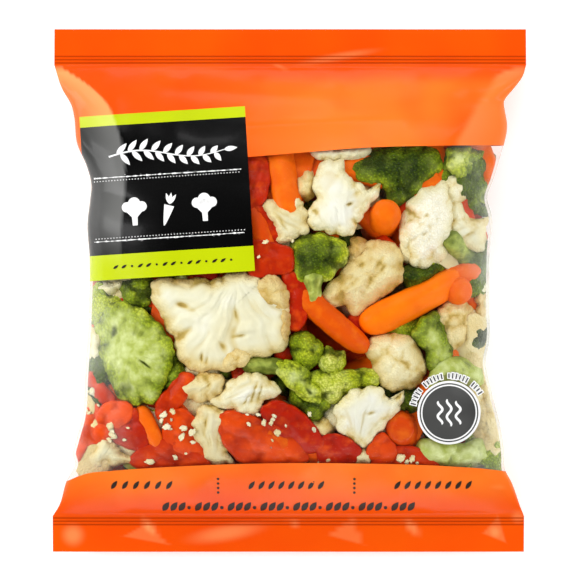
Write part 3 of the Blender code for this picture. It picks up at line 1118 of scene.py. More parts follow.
# Colours by tone: cauliflower, broccoli stems, broccoli beads and the tips of the beads
CURD_TONES = (
    (0.0, (0.64, 0.43, 0.16)), (0.25, (0.78, 0.62, 0.28)), (0.5, (0.86, 0.77, 0.45)),
    (0.75, (0.91, 0.87, 0.61)), (1.0, (0.97, 0.95, 0.80)),
)
STEM_TONES = ((0.0, (0.13, 0.17, 0.02)), (0.5, (0.42, 0.49, 0.09)), (1.0, (0.68, 0.75, 0.34)))
BEAD_TONES = (
    (0.0, (0.026, 0.050, 0.001)), (0.25, (0.080, 0.130, 0.002)), (0.5, (0.22, 0.31, 0.005)),
    (0.75, (0.46, 0.54, 0.015)), (1.0, (0.70, 0.74, 0.15)),
)
TIP_TONES = (
    (0.0, (0.11, 0.17, 0.005)), (0.25, (0.27, 0.36, 0.010)), (0.5, (0.50, 0.60, 0.02)),
    (0.75, (0.76, 0.82, 0.08)), (1.0, (0.92, 0.92, 0.40)),
)
CURD_GRAIN = (0.70, 0.56, 0.24)
CURD_CUT = (0.86, 0.87, 0.90)
# Colours of the painted shade in crevices, and in the deepest ones
CURD_CREVICE_SHADE = (0.80, 0.66, 0.34)
CURD_DEEP_SHADE = (0.46, 0.32, 0.07)
# Colours of the painted shade between the beads, at the dark and pale ends of the tone, and in the
# crevices of the stems
BEAD_GAP_SHADE = (0.014, 0.026, 0.001)
BEAD_GAP_SHADE_PALE = (0.30, 0.37, 0.02)
STEM_CREVICE_SHADE = (0.08, 0.11, 0.005)
# Dark and bright end of the tone, light patches and dark patches
CARROT_COLOURS = ((0.62, 0.045, 0.0005), (1.0, 0.19, 0.001), (0.95, 0.25, 0.008), (0.66, 0.060, 0.001))
PEPPER_COLOURS = ((0.44, 0.010, 0.0005), (0.88, 0.088, 0.001), (0.90, 0.115, 0.006), (0.34, 0.008, 0.0005))
# Colour of the painted shade where a pepper's surface lies low
PEPPER_CREVICE_SHADE = (0.26, 0.006, 0.001)
# Inks: colour, its lighter patches, its colour where a highlight is painted on (pale facets and glints),
# roughness and coat
INKS = {
    "orange_print": ((0.87, 0.072, 0.0003), (0.89, 0.092, 0.0004), (0.97, 0.36, 0.12), 0.24, 0.08),
    "label_black": ((0.0016,) * 3, (0.0045,) * 3, (0.145, 0.145, 0.14), 0.26, 0.16),
    "label_lime": ((0.48, 0.58, 0.001), (0.53, 0.63, 0.002), (0.66, 0.73, 0.13), 0.26, 0.10),
    "label_white": ((0.86, 0.86, 0.85), (0.92, 0.92, 0.91), (0.9,) * 3, 0.40, 0.10),
    "dark_print": ((0.02, 0.012, 0.008), (0.03, 0.02, 0.012), (0.03,) * 3, 0.40, 0.10),
    "badge_grey": ((0.030, 0.030, 0.029), (0.085, 0.085, 0.082), (0.12,) * 3, 0.30, 0.10),
}
INK_GLOSS = 0.16
# How dark the ink gets along the pressed seal lines: painted shade in the grooves
PRESSED_SHADE = 0.45
# Paler orange of the painted soft highlight
ORANGE_PAINTED_SHEEN = (0.935, 0.185, 0.014)
FILM_TINT = (0.90, 0.93, 0.84)
FILM_THROUGH = (0.985, 0.985, 0.98)
# How milky the film is, by how far it turns away
FILM_VEIL = ((0.0, 0.0), (0.35, 0.006), (0.7, 0.12), (1.0, 0.6))


def material(name):
    """A new node material, with its shader."""
    made = bpy.data.materials.new(name)
    made.use_nodes = True
    return made, made.node_tree.nodes["Principled BSDF"]


def add(tree, kind, **values):
    """A node with its properties and unlinked inputs set."""
    node = tree.nodes.new(kind)
    for key, value in values.items():
        if key in node.inputs:
            node.inputs[key].default_value = value
        else:
            setattr(node, key, value)
    return node


def ramp(tree, factor, stops):
    """A colour ramp driven by a factor."""
    node = tree.nodes.new("ShaderNodeValToRGB")
    elements = node.color_ramp.elements
    while len(elements) < len(stops):
        elements.new(0.5)
    for element, (position, colour) in zip(elements, stops):
        element.position = position
        element.color = (*colour, 1.0)
    tree.links.new(factor, node.inputs["Fac"])
    return node.outputs["Color"]


def ramp_value(tree, factor, stops):
    """A grey ramp, given as (position, value)."""
    return ramp(tree, factor, [(position, (value,) * 3) for position, value in stops])


def mix(tree, factor, first, second, blend="MIX"):
    """Mixes two colours."""
    node = tree.nodes.new("ShaderNodeMix")
    node.data_type = "RGBA"
    node.blend_type = blend
    for value, socket in ((factor, 0), (first, 6), (second, 7)):
        if isinstance(value, bpy.types.NodeSocket):
            tree.links.new(value, node.inputs[socket])
        elif isinstance(value, tuple):
            node.inputs[socket].default_value = (*value, 1.0)
        else:
            node.inputs[socket].default_value = value
    return node.outputs[2]


def noise_factor(tree, scale, detail=3.0, roughness=0.55):
    """Noise over the object's own coordinates."""
    place = add(tree, "ShaderNodeTexCoord")
    node = add(tree, "ShaderNodeTexNoise", Scale=scale, Detail=detail, Roughness=roughness)
    tree.links.new(place.outputs["Object"], node.inputs["Vector"])
    return node.outputs["Fac"]


def bump(tree, shader, height, strength, distance):
    """A bump from a height, on the shader's normal."""
    node = add(tree, "ShaderNodeBump", Strength=strength, Distance=distance)
    tree.links.new(height, node.inputs["Height"])
    tree.links.new(node.outputs["Normal"], shader.inputs["Normal"])


def attribute(tree, name):
    """A value stored on the mesh points."""
    node = add(tree, "ShaderNodeAttribute", attribute_name=name)
    return node.outputs["Fac"]


def arithmetic(tree, operation, first, second):
    """A sum or product of two values, each a socket or a number."""
    node = add(tree, "ShaderNodeMath", operation=operation)
    for socket, value in zip(node.inputs, (first, second)):
        if isinstance(value, float):
            socket.default_value = value
        else:
            tree.links.new(value, socket)
    return node.outputs["Value"]


def scaled(tree, value, low, high, out_low=0.0, out_high=1.0):
    """Maps a range onto another, clamped."""
    node = add(tree, "ShaderNodeMapRange")
    node.inputs["From Min"].default_value = low
    node.inputs["From Max"].default_value = high
    node.inputs["To Min"].default_value = out_low
    node.inputs["To Max"].default_value = out_high
    tree.links.new(value, node.inputs["Value"])
    return node.outputs["Result"]


def cells(tree, scale):
    """Distance from the middles of small cells, over the object's own coordinates."""
    place = add(tree, "ShaderNodeTexCoord")
    node = add(tree, "ShaderNodeTexVoronoi", Scale=scale)
    tree.links.new(place.outputs["Object"], node.inputs["Vector"])
    return node.outputs["Distance"]


def patches(tree, colour, other, scale, detail, low, high, share):
    """A colour with patches of another, where noise rises from low to high."""
    rise = scaled(tree, noise_factor(tree, scale, detail), low, high, 0.0, share)
    return mix(tree, rise, colour, other)


def patchy_tone(tree, scale, reach):
    """The tone stored on the mesh, made uneven by noise."""
    uneven = scaled(tree, noise_factor(tree, scale, 4.0), 0.3, 0.7, -reach, reach)
    return arithmetic(tree, "ADD", attribute(tree, "tone"), uneven)


def surface(tree, shader, colour, roughness, specular):
    """Sets a shader's colour, from a node or a value, and its gloss."""
    base = shader.inputs["Base Color"]
    if isinstance(colour, tuple):
        base.default_value = (*colour, 1.0)
    else:
        tree.links.new(colour, base)
    shader.inputs["Roughness"].default_value = roughness
    shader.inputs["Specular IOR Level"].default_value = specular


def ink(name):
    """Glossy ink on thin film: colour that varies softly, painted highlights in pale facets and glints,
    painted shade along the pressed seal lines, and fine crinkles.
    """
    colour, light, pale, roughness, coat = INKS[name]
    made, shader = material(name)
    tree = made.node_tree
    tint = patches(tree, colour, light, 22.0, 2.0, 0.35, 0.7, 1.0)
    # Painted highlight: the ink turns pale where the highlight is painted
    tint = mix(tree, attribute(tree, "painted_highlight"), tint, pale)
    # Painted shade: the ink darkens along the pressed lines of the seals
    pressed = tuple(PRESSED_SHADE * value for value in colour)
    surface(tree, shader, mix(tree, attribute(tree, "pressed"), tint, pressed), roughness, INK_GLOSS)
    shader.inputs["Coat Weight"].default_value = coat
    shader.inputs["Coat Roughness"].default_value = 0.12
    bump(tree, shader, noise_factor(tree, 120.0, 4.0, 0.6), 0.25, 0.0006)
    return made


def orange_ink():
    """The orange print: deep at the seals, with a soft highlight painted on as lighter orange in patches
    along the footer and the right of the header.
    """
    made = ink("orange_print")
    tree = made.node_tree
    base = tree.nodes["Principled BSDF"].inputs["Base Color"]
    plain = base.links[0].from_socket
    sheen_patches = patches(tree, plain, ORANGE_PAINTED_SHEEN, 17.0, 2.0, 0.3, 0.62, 1.0)
    tree.links.new(mix(tree, attribute(tree, "painted_sheen"), plain, sheen_patches), base)
    return made


def clear_film():
    """Thin clear film: see-through from the front, glossy and milky where it turns away, with a whitish
    reflection painted in cloudy patches at the bag's sides.
    """
    made, shader = material("clear_film")
    tree = made.node_tree
    surface(tree, shader, FILM_TINT, 0.16, 0.8)
    bump(tree, shader, noise_factor(tree, 90.0, 4.0, 0.6), 0.3, 0.0008)
    through = add(tree, "ShaderNodeBsdfTransparent", Color=(*FILM_THROUGH, 1.0))
    facing = add(tree, "ShaderNodeLayerWeight", Blend=0.5)
    veil = ramp_value(tree, facing.outputs["Facing"], FILM_VEIL)
    # Painted reflection: cloudy whitish patches at the bag's sides
    clouds = scaled(tree, noise_factor(tree, 26.0, 3.0), 0.36, 0.64)
    painted_reflection = arithmetic(tree, "MULTIPLY", attribute(tree, "painted_reflection"), clouds)
    blend = add(tree, "ShaderNodeMixShader")
    tree.links.new(arithmetic(tree, "ADD", veil, painted_reflection), blend.inputs["Fac"])
    tree.links.new(through.outputs["BSDF"], blend.inputs[1])
    tree.links.new(shader.outputs["BSDF"], blend.inputs[2])
    tree.links.new(blend.outputs["Shader"], tree.nodes["Material Output"].inputs["Surface"])
    return made


def curd():
    """Cauliflower: white to cream and tan by tone, with painted yellow-brown shade in the crevices, and
    fine grains.
    """
    made, shader = material("cauliflower")
    tree = made.node_tree
    raised = attribute(tree, "raised")
    head = attribute(tree, "head")
    colour = ramp(tree, patchy_tone(tree, 70.0, 0.13), CURD_TONES)
    grains = arithmetic(tree, "MULTIPLY", head, scaled(tree, cells(tree, 900.0), 0.25, 0.7))
    colour = mix(tree, arithmetic(tree, "MULTIPLY", grains, 0.28), colour, CURD_GRAIN)
    cut = mix(tree, 1.0, colour, CURD_CUT, "MULTIPLY")
    colour = mix(tree, head, cut, colour)
    # Painted shade: darker and yellow-brown where the surface lies low, in crevices and slits
    colour = mix(tree, scaled(tree, raised, 0.05, 0.50, 0.95, 0.0), colour, CURD_CREVICE_SHADE, "MULTIPLY")
    colour = mix(tree, scaled(tree, raised, 0.0, 0.16, 0.8, 0.0), colour, CURD_DEEP_SHADE)
    surface(tree, shader, colour, 0.42, 0.3)
    bump(tree, shader, grains, 0.5, -0.0006)
    return made


def green_floret():
    """Broccoli: beads from dark green to yellow-green by tone, painted lighter at their tips and with
    painted shade between them and in crevices, light green stems and cut faces.
    """
    made, shader = material("broccoli")
    tree = made.node_tree
    raised = attribute(tree, "raised")
    head = attribute(tree, "head")
    tone = patchy_tone(tree, 90.0, 0.22)
    mottled = scaled(tree, noise_factor(tree, 210.0, 5.0), 0.36, 0.66, -0.22, 0.24)
    stems = ramp(tree, arithmetic(tree, "ADD", tone, mottled), STEM_TONES)
    # Painted shade in the crevices of the stems
    stems = mix(tree, scaled(tree, raised, 0.0, 0.42, 0.9, 0.0), stems, STEM_CREVICE_SHADE)
    gap = cells(tree, 720.0)
    # Painted light and shade of each bead: lighter at its tip, dark in the gaps between beads
    tips = scaled(tree, gap, 0.10, 0.45, 0.55, 0.0)
    beads = mix(tree, tips, ramp(tree, tone, BEAD_TONES), ramp(tree, tone, TIP_TONES))
    gaps = ramp(tree, tone, ((0.0, BEAD_GAP_SHADE), (1.0, BEAD_GAP_SHADE_PALE)))
    beads = mix(tree, scaled(tree, gap, 0.45, 0.8, 0.0, 0.7), beads, gaps)
    # Painted shade where the head lies low
    beads = mix(tree, scaled(tree, raised, 0.1, 0.5, 0.8, 0.0), beads, BEAD_GAP_SHADE)
    surface(tree, shader, mix(tree, head, stems, beads), 0.45, 0.25)
    bump(tree, shader, arithmetic(tree, "MULTIPLY", head, gap), 0.8, -0.0010)
    return made


def carrot_flesh():
    """Peeled carrot: bright and moist, with light and dark patches."""
    made, shader = material("carrot")
    tree = made.node_tree
    dark, bright, light_patch, dark_patch = CARROT_COLOURS
    colour = mix(tree, attribute(tree, "tone"), dark, bright)
    colour = patches(tree, colour, light_patch, 180.0, 4.0, 0.45, 0.75, 0.4)
    colour = patches(tree, colour, dark_patch, 60.0, 3.0, 0.5, 0.75, 0.35)
    surface(tree, shader, colour, 0.36, 0.2)
    bump(tree, shader, noise_factor(tree, 420.0, 4.0, 0.6), 0.35, 0.0006)
    return made


def pepper_skin():
    """Red pepper: deep red skin with light and dark patches, and painted shade where the surface lies low.
    """
    made, shader = material("red_pepper")
    tree = made.node_tree
    dark, bright, light_patch, dark_patch = PEPPER_COLOURS
    colour = mix(tree, attribute(tree, "tone"), dark, bright)
    colour = patches(tree, colour, light_patch, 150.0, 5.0, 0.5, 0.7, 0.5)
    colour = patches(tree, colour, dark_patch, 60.0, 4.0, 0.5, 0.68, 0.6)
    # Painted shade where the surface lies low
    low = scaled(tree, attribute(tree, "raised"), 0.0, 0.45, 0.8, 0.0)
    surface(tree, shader, mix(tree, low, colour, PEPPER_CREVICE_SHADE), 0.28, 0.25)
    bump(tree, shader, noise_factor(tree, 110.0, 6.0, 0.65), 0.45, 0.0016)
    return made


# Placing the vegetables


def turned(points, aim, lift, roll=0.0):
    """Turns a shape so that its trunk points along aim in the plane, and lifts its head to the viewer."""
    roll, tilt, yaw = math.radians(roll), math.radians(90.0 - lift), math.radians(aim - 90.0)
    rotation = Matrix.Rotation(yaw, 3, "Z") @ Matrix.Rotation(tilt, 3, "X") @ Matrix.Rotation(roll, 3, "Z")
    return points @ np.array(rotation).T


class Heap:
    """All pieces of one vegetable, kept inside the film."""

    def __init__(self):
        self.points = []
        self.quads = []
        self.values = {"head": [], "raised": [], "tone": []}
        self.count = 0

    def put(self, shape, points, tone, clearance=None):
        """Adds a piece whose points, in millimetres, are already in place."""
        if clearance is None:
            clearance = 0.45 + 0.17 * (len(self.points) % 7)
        points = kept_inside(points * MM, clearance * MM)
        self.points.append(points)
        self.quads.append(shape.quads + self.count)
        self.count += len(points)
        self.values["head"].append(shape.head)
        self.values["raised"].append(np.clip(0.5 + shape.raised * 0.32, 0.0, 1.0))
        self.values["tone"].append(np.full(len(points), tone))

    def press(self, shape, depth, tone, rim_tone):
        """Adds a pressed piece so that its face follows the film, at a depth below it."""
        front, _ = film_span(shape.points[:, 0] * MM, shape.points[:, 1] * MM)
        lowered = shape.points.copy()
        lowered[:, 2] += front / MM - depth - 0.6
        # Towards the outline the tone runs to the rim tone: mostly painted shade at the edges of the
        # pieces
        self.put(shape, lowered, tone + (rim_tone - tone) * shape.rim, 0.4)

    def piece(self, name, made):
        """The finished piece, with its values on the points."""
        thing = new_object(name, np.concatenate(self.points), np.concatenate(self.quads), made)
        for key, parts in self.values.items():
            store(thing, key, np.concatenate(parts))
        return thing


def kept_inside(points, clearance):
    """Moves points that would pass through the film back to that far inside it."""
    x, y, z = points.T.copy()
    y = np.clip(y, -BODY_END + 9.0 * MM, BODY_END - 9.0 * MM)
    left, right, _, _ = section(y)
    x = np.clip(x, left + 1.6 * MM, right - 1.6 * MM)
    front, back = film_span(x, y)
    middle = (front + back) / 2
    top = np.maximum(front - clearance, middle)
    bottom = np.minimum(back + 0.6 * MM, middle)
    return np.stack([x, y, np.clip(z, bottom, top)], axis=1)


def under_film(points, depth, pressed=6.0):
    """Lifts a piece until that percentage of its points touches the film, then lowers it by depth."""
    front, _ = film_span(points[:, 0] * MM, points[:, 1] * MM)
    room = front / MM - points[:, 2]
    points[:, 2] += np.percentile(room, pressed) - depth
    return points


def place_at(points, px, py):
    """Moves a centred piece to a pixel of the photograph."""
    x, y = from_pixel(px, py)
    return points + np.array([x, y, 0.0])


# Pressed pieces: look, tone, tone at the rim (mostly lower: painted shade at the pieces' edges; higher on
# a few broccoli pieces, for their lighter green rim), depth in mm, core, stem, outline, then slits and
# swellings
# (pixel x, y, length, width, angle, height)
CAULIFLOWERS = (
    # The first two lobes are low in tone: painted shade, golden brown beside the large slice
    ("lobe", 0.24, 0.10, -0.2, (273, 293), (273, 293), (
        (259, 281), (266, 275), (275, 276), (283, 281), (289, 291), (290, 301), (287, 309), (277, 309),
        (266, 308), (259, 301), (257, 290),
    ), ((268, 305, 12, 4, -5, -1.6),)),
    ("lobe", 0.22, 0.06, 0.2, (286, 323), (286, 323), (
        (282, 309), (290, 312), (292, 322), (290, 333), (286, 342), (280, 337), (279, 322),
    ), ()),
    ("lobe", 0.45, 0.22, 0.0, (236, 360), (236, 360), (
        (224, 353), (237, 349), (250, 353), (249, 361), (241, 367), (230, 370), (222, 365),
    ), ()),
    ("slice", 0.76, 0.22, 1.4, (222, 318), (236, 276), (
        (154, 282), (151, 291), (155, 304), (161, 313), (163, 325), (170, 333), (177, 339), (174, 346),
        (177, 357), (187, 367), (201, 371), (215, 370), (231, 370), (243, 365), (249, 357), (262, 356),
        (276, 354), (286, 346), (290, 333), (289, 322), (292, 311), (289, 302), (288, 291), (280, 280),
        (269, 275), (261, 280), (258, 276), (246, 272), (227, 275), (212, 281), (198, 277), (178, 278),
        (164, 279),
    ), (
        (182, 305, 5, 2.4, -25, -1.9), (187, 332, 10, 4.2, 38, -2.0), (234, 319, 15, 6, 80, -1.4),
        (242, 335, 7, 1.8, 12, -2.2), (221, 345, 9, 3, -62, -2.0), (210, 279, 14, 6, 0, -2.2),
        (176, 339, 6, 2.4, 25, -1.9), (202, 357, 5, 1.6, 85, -1.6), (207, 360, 5, 1.4, 80, -1.4),
        (192, 310, 12, 2.2, -28, -0.9), (228, 300, 30, 15, 55, 1.4), (246, 327, 8, 8, 0, 2.0),
        (196, 318, 18, 7, -20, 0.9), (268, 330, 16, 11, 20, 0.9), (212, 350, 10, 14, 0, 0.8),
        (172, 295, 13, 9, 0, 0.9),
    )),
    ("slice", 0.92, 0.60, 0.6, (336, 212), (345, 250), (
        (319, 165), (333, 160), (343, 160), (346, 172), (356, 181), (367, 190), (374, 187), (378, 183),
        (381, 185), (378, 195), (371, 204), (363, 216), (356, 228), (348, 236), (333, 235), (320, 231),
        (311, 229), (306, 220), (310, 208), (316, 198), (313, 186),
    ), ((349, 204, 4, 2, 20, -2.2), (316, 214, 3, 10, 20, -1.4), (338, 200, 14, 10, 70, 1.4),
        (352, 196, 8, 3, 35, -0.8), (330, 222, 16, 8, 10, 1.0))),
    ("curd", 0.42, 0.12, 1.8, (307, 184), (307, 184), (
        (298, 172), (308, 166), (317, 172), (319, 184), (316, 197), (307, 203), (297, 197), (294, 184),
    ), ()),
    ("slice", 0.66, 0.42, 1.0, (289, 219), (262, 202), (
        (262, 208), (265, 202), (273, 199), (283, 203), (289, 205), (293, 198), (299, 196), (303, 201),
        (304, 208), (309, 215), (309, 225), (306, 234), (295, 238), (285, 243), (275, 242), (275, 230),
        (271, 220), (266, 214),
    ), ((288, 216, 12, 1.6, -30, -1.2), (284, 226, 12, 1.6, -55, -1.2), (296, 209, 7, 1.8, 30, -1.2))),
    ("curd", 1.0, 0.55, 0.0, (429, 223), (429, 223), (
        (436, 180), (448, 182), (455, 192), (458, 206), (456, 221), (455, 234), (450, 247), (445, 258),
        (433, 263), (422, 268), (412, 263), (407, 253), (402, 240), (399, 228), (402, 216), (406, 204),
        (415, 196), (421, 186),
    ), ((427, 216, 3, 2.2, 30, -2), (424, 234, 5, 2, 10, -1.8), (440, 214, 16, 30, 0, 1.2))),
    ("curd", 0.88, 0.55, 1.6, (459, 188), (459, 188), (
        (444, 180), (454, 172), (467, 173), (475, 184), (473, 198), (465, 206), (452, 208), (443, 194),
    ), ()),
    ("slice", 0.80, 0.50, 2.2, (466, 222), (492, 222), (
        (452, 198), (461, 199), (466, 212), (473, 216), (482, 218), (492, 216), (488, 228), (489, 238),
        (490, 252), (480, 252), (472, 250), (461, 246), (453, 236), (450, 218),
    ), ((472, 232, 9, 2, 30, -1.4),)),
    ("curd", 0.42, 0.10, 0.5, (365, 275), (365, 275), (
        (348, 258), (358, 248), (371, 242), (386, 241), (397, 247), (403, 260), (404, 276), (399, 285),
        (389, 294), (376, 302), (363, 311), (354, 315), (343, 306), (330, 306), (323, 297), (329, 284),
        (339, 273),
    ), ((352, 284, 14, 2.4, 40, -1.4), (376, 268, 16, 2.4, 60, -1.2))),
    ("curd", 0.60, 0.22, 0.4, (397, 361), (397, 361), (
        (370, 341), (381, 335), (396, 333), (412, 338), (422, 350), (427, 365), (424, 378), (417, 387),
        (402, 391), (386, 388), (378, 378), (371, 365), (366, 352),
    ), ()),
    ("curd", 0.34, 0.14, 1.0, (457, 327), (457, 327), (
        (440, 308), (449, 301), (462, 300), (473, 305), (479, 317), (478, 331), (472, 345), (460, 353),
        (448, 350), (440, 338), (436, 322),
    ), ()),
    ("slice", 0.98, 0.62, 0.2, (360, 415), (356, 450), (
        (348, 393), (359, 388), (373, 386), (383, 391), (388, 399), (397, 397), (402, 391), (405, 393),
        (403, 402), (397, 413), (388, 423), (379, 433), (373, 443), (366, 448), (353, 443), (343, 436),
        (337, 426), (334, 413), (339, 402),
    ), ((372, 413, 5, 2, 10, -2), (350, 404, 12, 4, 30, 0.9), (366, 400, 16, 10, -10, 1.2))),
    ("slice", 0.55, 0.22, 1.4, (201, 388), (224, 372), (
        (191, 375), (181, 382), (177, 390), (184, 397), (193, 401), (204, 402), (216, 399), (224, 391),
        (224, 381), (219, 373), (204, 372),
    ), ((206, 380, 12, 3, -60, -1.4),)),
    ("slice", 0.90, 0.50, 0.5, (246, 396), (208, 402), (
        (211, 399), (220, 392), (227, 381), (238, 375), (251, 372), (264, 374), (273, 381), (280, 391),
        (274, 397), (264, 402), (261, 411), (253, 416), (241, 416), (234, 411), (227, 409), (217, 406),
    ), ((254, 392, 9, 1.6, 70, -1.8), (260, 392, 8, 1.4, 75, -1.6), (247, 398, 8, 1.4, 60, -1.2))),
    ("slice", 0.50, 0.34, 0.6, (209, 430), (212, 466), (
        (206, 403), (216, 405), (225, 412), (228, 421), (228, 430), (222, 432), (225, 440), (231, 447),
        (228, 455), (234, 463), (215, 465), (196, 463), (200, 452), (195, 443), (191, 432), (187, 423),
        (194, 414), (200, 407),
    ), ((190, 430, 5, 3, 0, -1.9), (224, 431, 5, 3, 0, -1.9), (206, 424, 8, 1.4, 80, -1.4))),
    ("slice", 0.66, 0.26, 0.6, (106, 454), (92, 470), (
        (95, 437), (105, 435), (112, 440), (117, 447), (126, 455), (135, 461), (126, 465), (108, 468),
        (93, 469), (88, 463), (86, 455), (91, 445),
    ), ((104, 462, 6, 3, 0, -1.8), (112, 452, 10, 4, -40, 0.8))),
    ("curd", 0.45, 0.25, 0.9, (142, 448), (142, 448), (
        (134, 441), (141, 437), (149, 444), (151, 455), (142, 459), (134, 453),
    ), ()),
    ("slice", 0.85, 0.60, 2.2, (338, 154), (338, 140), (
        (310, 148), (330, 144), (352, 143), (372, 144), (366, 156), (350, 160), (326, 161), (314, 157),
    ), ()),
    ("curd", 0.72, 0.50, 1.8, (106, 289), (106, 289), (
        (89, 284), (100, 279), (122, 279), (125, 290), (112, 297), (98, 299), (89, 295),
    ), ()),
    ("slice", 0.90, 0.70, 1.2, (95, 345), (88, 345), (
        (86, 328), (96, 326), (102, 338), (101, 354), (95, 364), (86, 358),
    ), ()),
    ("curd", 0.20, 0.08, 1.6, (482, 305), (482, 305), (
        (476, 284), (484, 280), (490, 294), (489, 316), (483, 330), (476, 318), (473, 300),
    ), ()),
    ("curd", 0.30, 0.12, 1.4, (322, 429), (322, 429), (
        (311, 420), (323, 416), (333, 423), (334, 436), (322, 442), (311, 434),
    ), ()),
    ("slice", 0.60, 0.40, 1.8, (326, 459), (320, 462), (
        (317, 458), (325, 450), (336, 453), (337, 464), (326, 468), (316, 466),
    ), ()),
    ("slice", 0.55, 0.35, 1.8, (364, 459), (370, 462), (
        (354, 454), (364, 449), (374, 455), (372, 466), (360, 468), (353, 463),
    ), ()),
    ("curd", 0.10, 0.05, 3.4, (357, 248), (357, 248), (
        (347, 238), (360, 235), (371, 243), (366, 258), (354, 264), (345, 254),
    ), ()),
    ("curd", 0.75, 0.45, 2.4, (470, 400), (470, 400), (
        (452, 384), (468, 378), (484, 384), (492, 398), (488, 414), (472, 422), (456, 414), (448, 400),
    ), ()),
    ("curd", 0.36, 0.16, 0.8, (490, 430), (490, 430), (
        (476, 392), (486, 378), (500, 384), (510, 404), (514, 432), (514, 458), (492, 468), (480, 456),
        (474, 436), (478, 414),
    ), ()),
)
BROCCOLIS = (
    ("beads", 0.10, 0.85, 0.0, (318, 256), (318, 256), (
        (288, 250), (290, 241), (301, 236), (315, 233), (328, 236), (340, 241), (348, 248), (348, 258),
        (343, 267), (335, 273), (327, 279), (313, 284), (301, 286), (291, 279), (289, 266),
    ), ()),
    ("stalk", 0.58, 0.40, 0.9, (312, 291), (312, 330), (
        (300, 272), (325, 272), (322, 286), (321, 302), (313, 308), (305, 303), (303, 290),
    ), ()),
    ("beads", 0.08, 0.45, 1.0, (399, 172), (399, 172), (
        (354, 163), (366, 153), (383, 146), (406, 144), (431, 146), (442, 156), (441, 168), (431, 180),
        (422, 186), (414, 197), (406, 203), (398, 206), (388, 200), (382, 188), (373, 184), (361, 180),
        (356, 174),
    ), ()),
    ("beads", 0.55, 0.45, 1.6, (464, 159), (464, 159), (
        (444, 150), (456, 144), (472, 143), (486, 147), (488, 158), (479, 168), (470, 176), (457, 175),
        (444, 171), (441, 160),
    ), ()),
    ("open", 0.80, 0.66, 1.0, (461, 161), (461, 186), (
        (449, 147), (470, 146), (475, 158), (470, 172), (460, 178), (450, 170), (447, 158),
    ), ()),
    ("beads", 0.08, 0.15, 4.2, (424, 274), (424, 274), (
        (403, 268), (412, 261), (424, 266), (436, 260), (444, 266), (438, 277), (424, 286), (409, 288),
        (401, 279),
    ), ()),
    ("beads", 0.32, 0.28, 3.4, (480, 184), (480, 184), (
        (470, 158), (486, 148), (497, 156), (495, 172), (490, 190), (492, 210), (480, 214), (466, 206),
        (462, 190), (468, 172),
    ), ()),
    ("beads", 0.62, 0.50, 0.4, (306, 349), (306, 349), (
        (292, 337), (302, 329), (313, 334), (321, 344), (323, 355), (318, 363), (306, 370), (294, 363),
        (289, 350),
    ), ()),
    ("beads", 0.98, 0.80, 0.6, (332, 360), (332, 360), (
        (322, 352), (328, 346), (336, 349), (344, 351), (345, 362), (339, 371), (328, 373), (320, 365),
    ), ()),
    ("beads", 0.88, 0.78, 1.2, (342, 383), (342, 383), (
        (312, 372), (326, 367), (340, 371), (352, 369), (366, 369), (378, 374), (375, 386), (358, 389),
        (347, 394), (340, 402), (327, 402), (315, 393), (307, 382),
    ), ()),
    ("open", 0.75, 0.75, 0.9, (300, 380), (270, 362), (
        (276, 362), (290, 360), (304, 366), (315, 378), (322, 392), (320, 404), (308, 402), (296, 394),
        (284, 382), (276, 372),
    ), ((308, 390, 6, 1.8, -60, -1.2),)),
    ("beads", 0.22, 0.40, 1.8, (308, 406), (308, 406), (
        (290, 388), (304, 392), (318, 394), (329, 401), (326, 413), (312, 424), (300, 417), (292, 404),
    ), ()),
    ("stalk", 0.22, 0.10, 2.6, (266, 365), (230, 362), (
        (242, 359), (262, 356), (282, 359), (290, 368), (277, 375), (258, 373), (244, 371),
    ), ()),
    ("open", 0.50, 0.42, 2.6, (432, 338), (440, 300), (
        (416, 326), (428, 312), (438, 312), (448, 330), (456, 350), (444, 366), (430, 372), (424, 352),
        (412, 338),
    ), ()),
    ("stalk", 0.82, 0.60, 1.6, (456, 454), (456, 480), (
        (420, 440), (440, 440), (462, 444), (484, 438), (494, 450), (492, 468), (460, 472), (430, 470),
        (416, 456),
    ), ((440, 453, 12, 8, 0, 1.3), (468, 456, 16, 7, 10, 1.3), (452, 459, 12, 2, 60, -1.3),
        (482, 456, 10, 2, -70, -1.1))),
    ("beads", 0.50, 0.40, 1.4, (137, 292), (137, 292), (
        (122, 279), (150, 278), (156, 290), (150, 303), (139, 308), (126, 303), (119, 292),
    ), ()),
    ("beads", 0.16, 0.12, 0.3, (484, 340), (484, 340), (
        (473, 328), (486, 318), (502, 324), (502, 344), (490, 354), (479, 359), (469, 346),
    ), ()),
    ("stalk", 0.62, 0.45, 1.6, (462, 375), (440, 350), (
        (440, 360), (456, 356), (472, 360), (488, 366), (490, 380), (476, 388), (456, 384), (440, 392),
        (428, 388), (430, 372),
    ), ((452, 370, 14, 7, 30, 1.3), (472, 378, 14, 6, -25, 1.2), (462, 372, 12, 2, 60, -1.1))),
    ("open", 0.58, 0.60, 0.0, (133, 352), (130, 350), (
        (108, 304), (121, 302), (134, 306), (147, 313), (159, 323), (167, 333), (172, 344), (174, 357),
        (170, 368), (167, 379), (161, 391), (157, 401), (146, 403), (136, 405), (125, 401), (115, 396),
        (112, 387), (105, 378), (101, 368), (98, 357), (94, 349), (98, 341), (95, 332), (93, 322),
        (99, 312),
    ), (
        (114, 332, 6, 2, 80, -2.0), (145, 364, 8, 1.6, -36, -2.4), (138, 334, 9, 4.5, -10, -1.1),
        (124, 389, 9, 7, 0, -1.3), (128, 350, 14, 14, 0, 1.0), (146, 345, 8, 5, 40, 0.8),
    )),
    ("beads", 0.18, 0.10, 2.8, (411, 402), (411, 402), (
        (398, 394), (408, 389), (420, 392), (424, 403), (420, 414), (408, 416), (399, 408),
    ), ()),
    ("beads", 0.14, 0.10, 0.2, (495, 417), (495, 417), (
        (489, 408), (500, 404), (510, 414), (510, 428), (497, 428), (490, 420),
    ), ()),
    ("beads", 0.50, 0.35, 3.6, (170, 378), (170, 378), (
        (160, 366), (176, 362), (186, 372), (184, 386), (172, 394), (160, 388),
    ), ()),
)
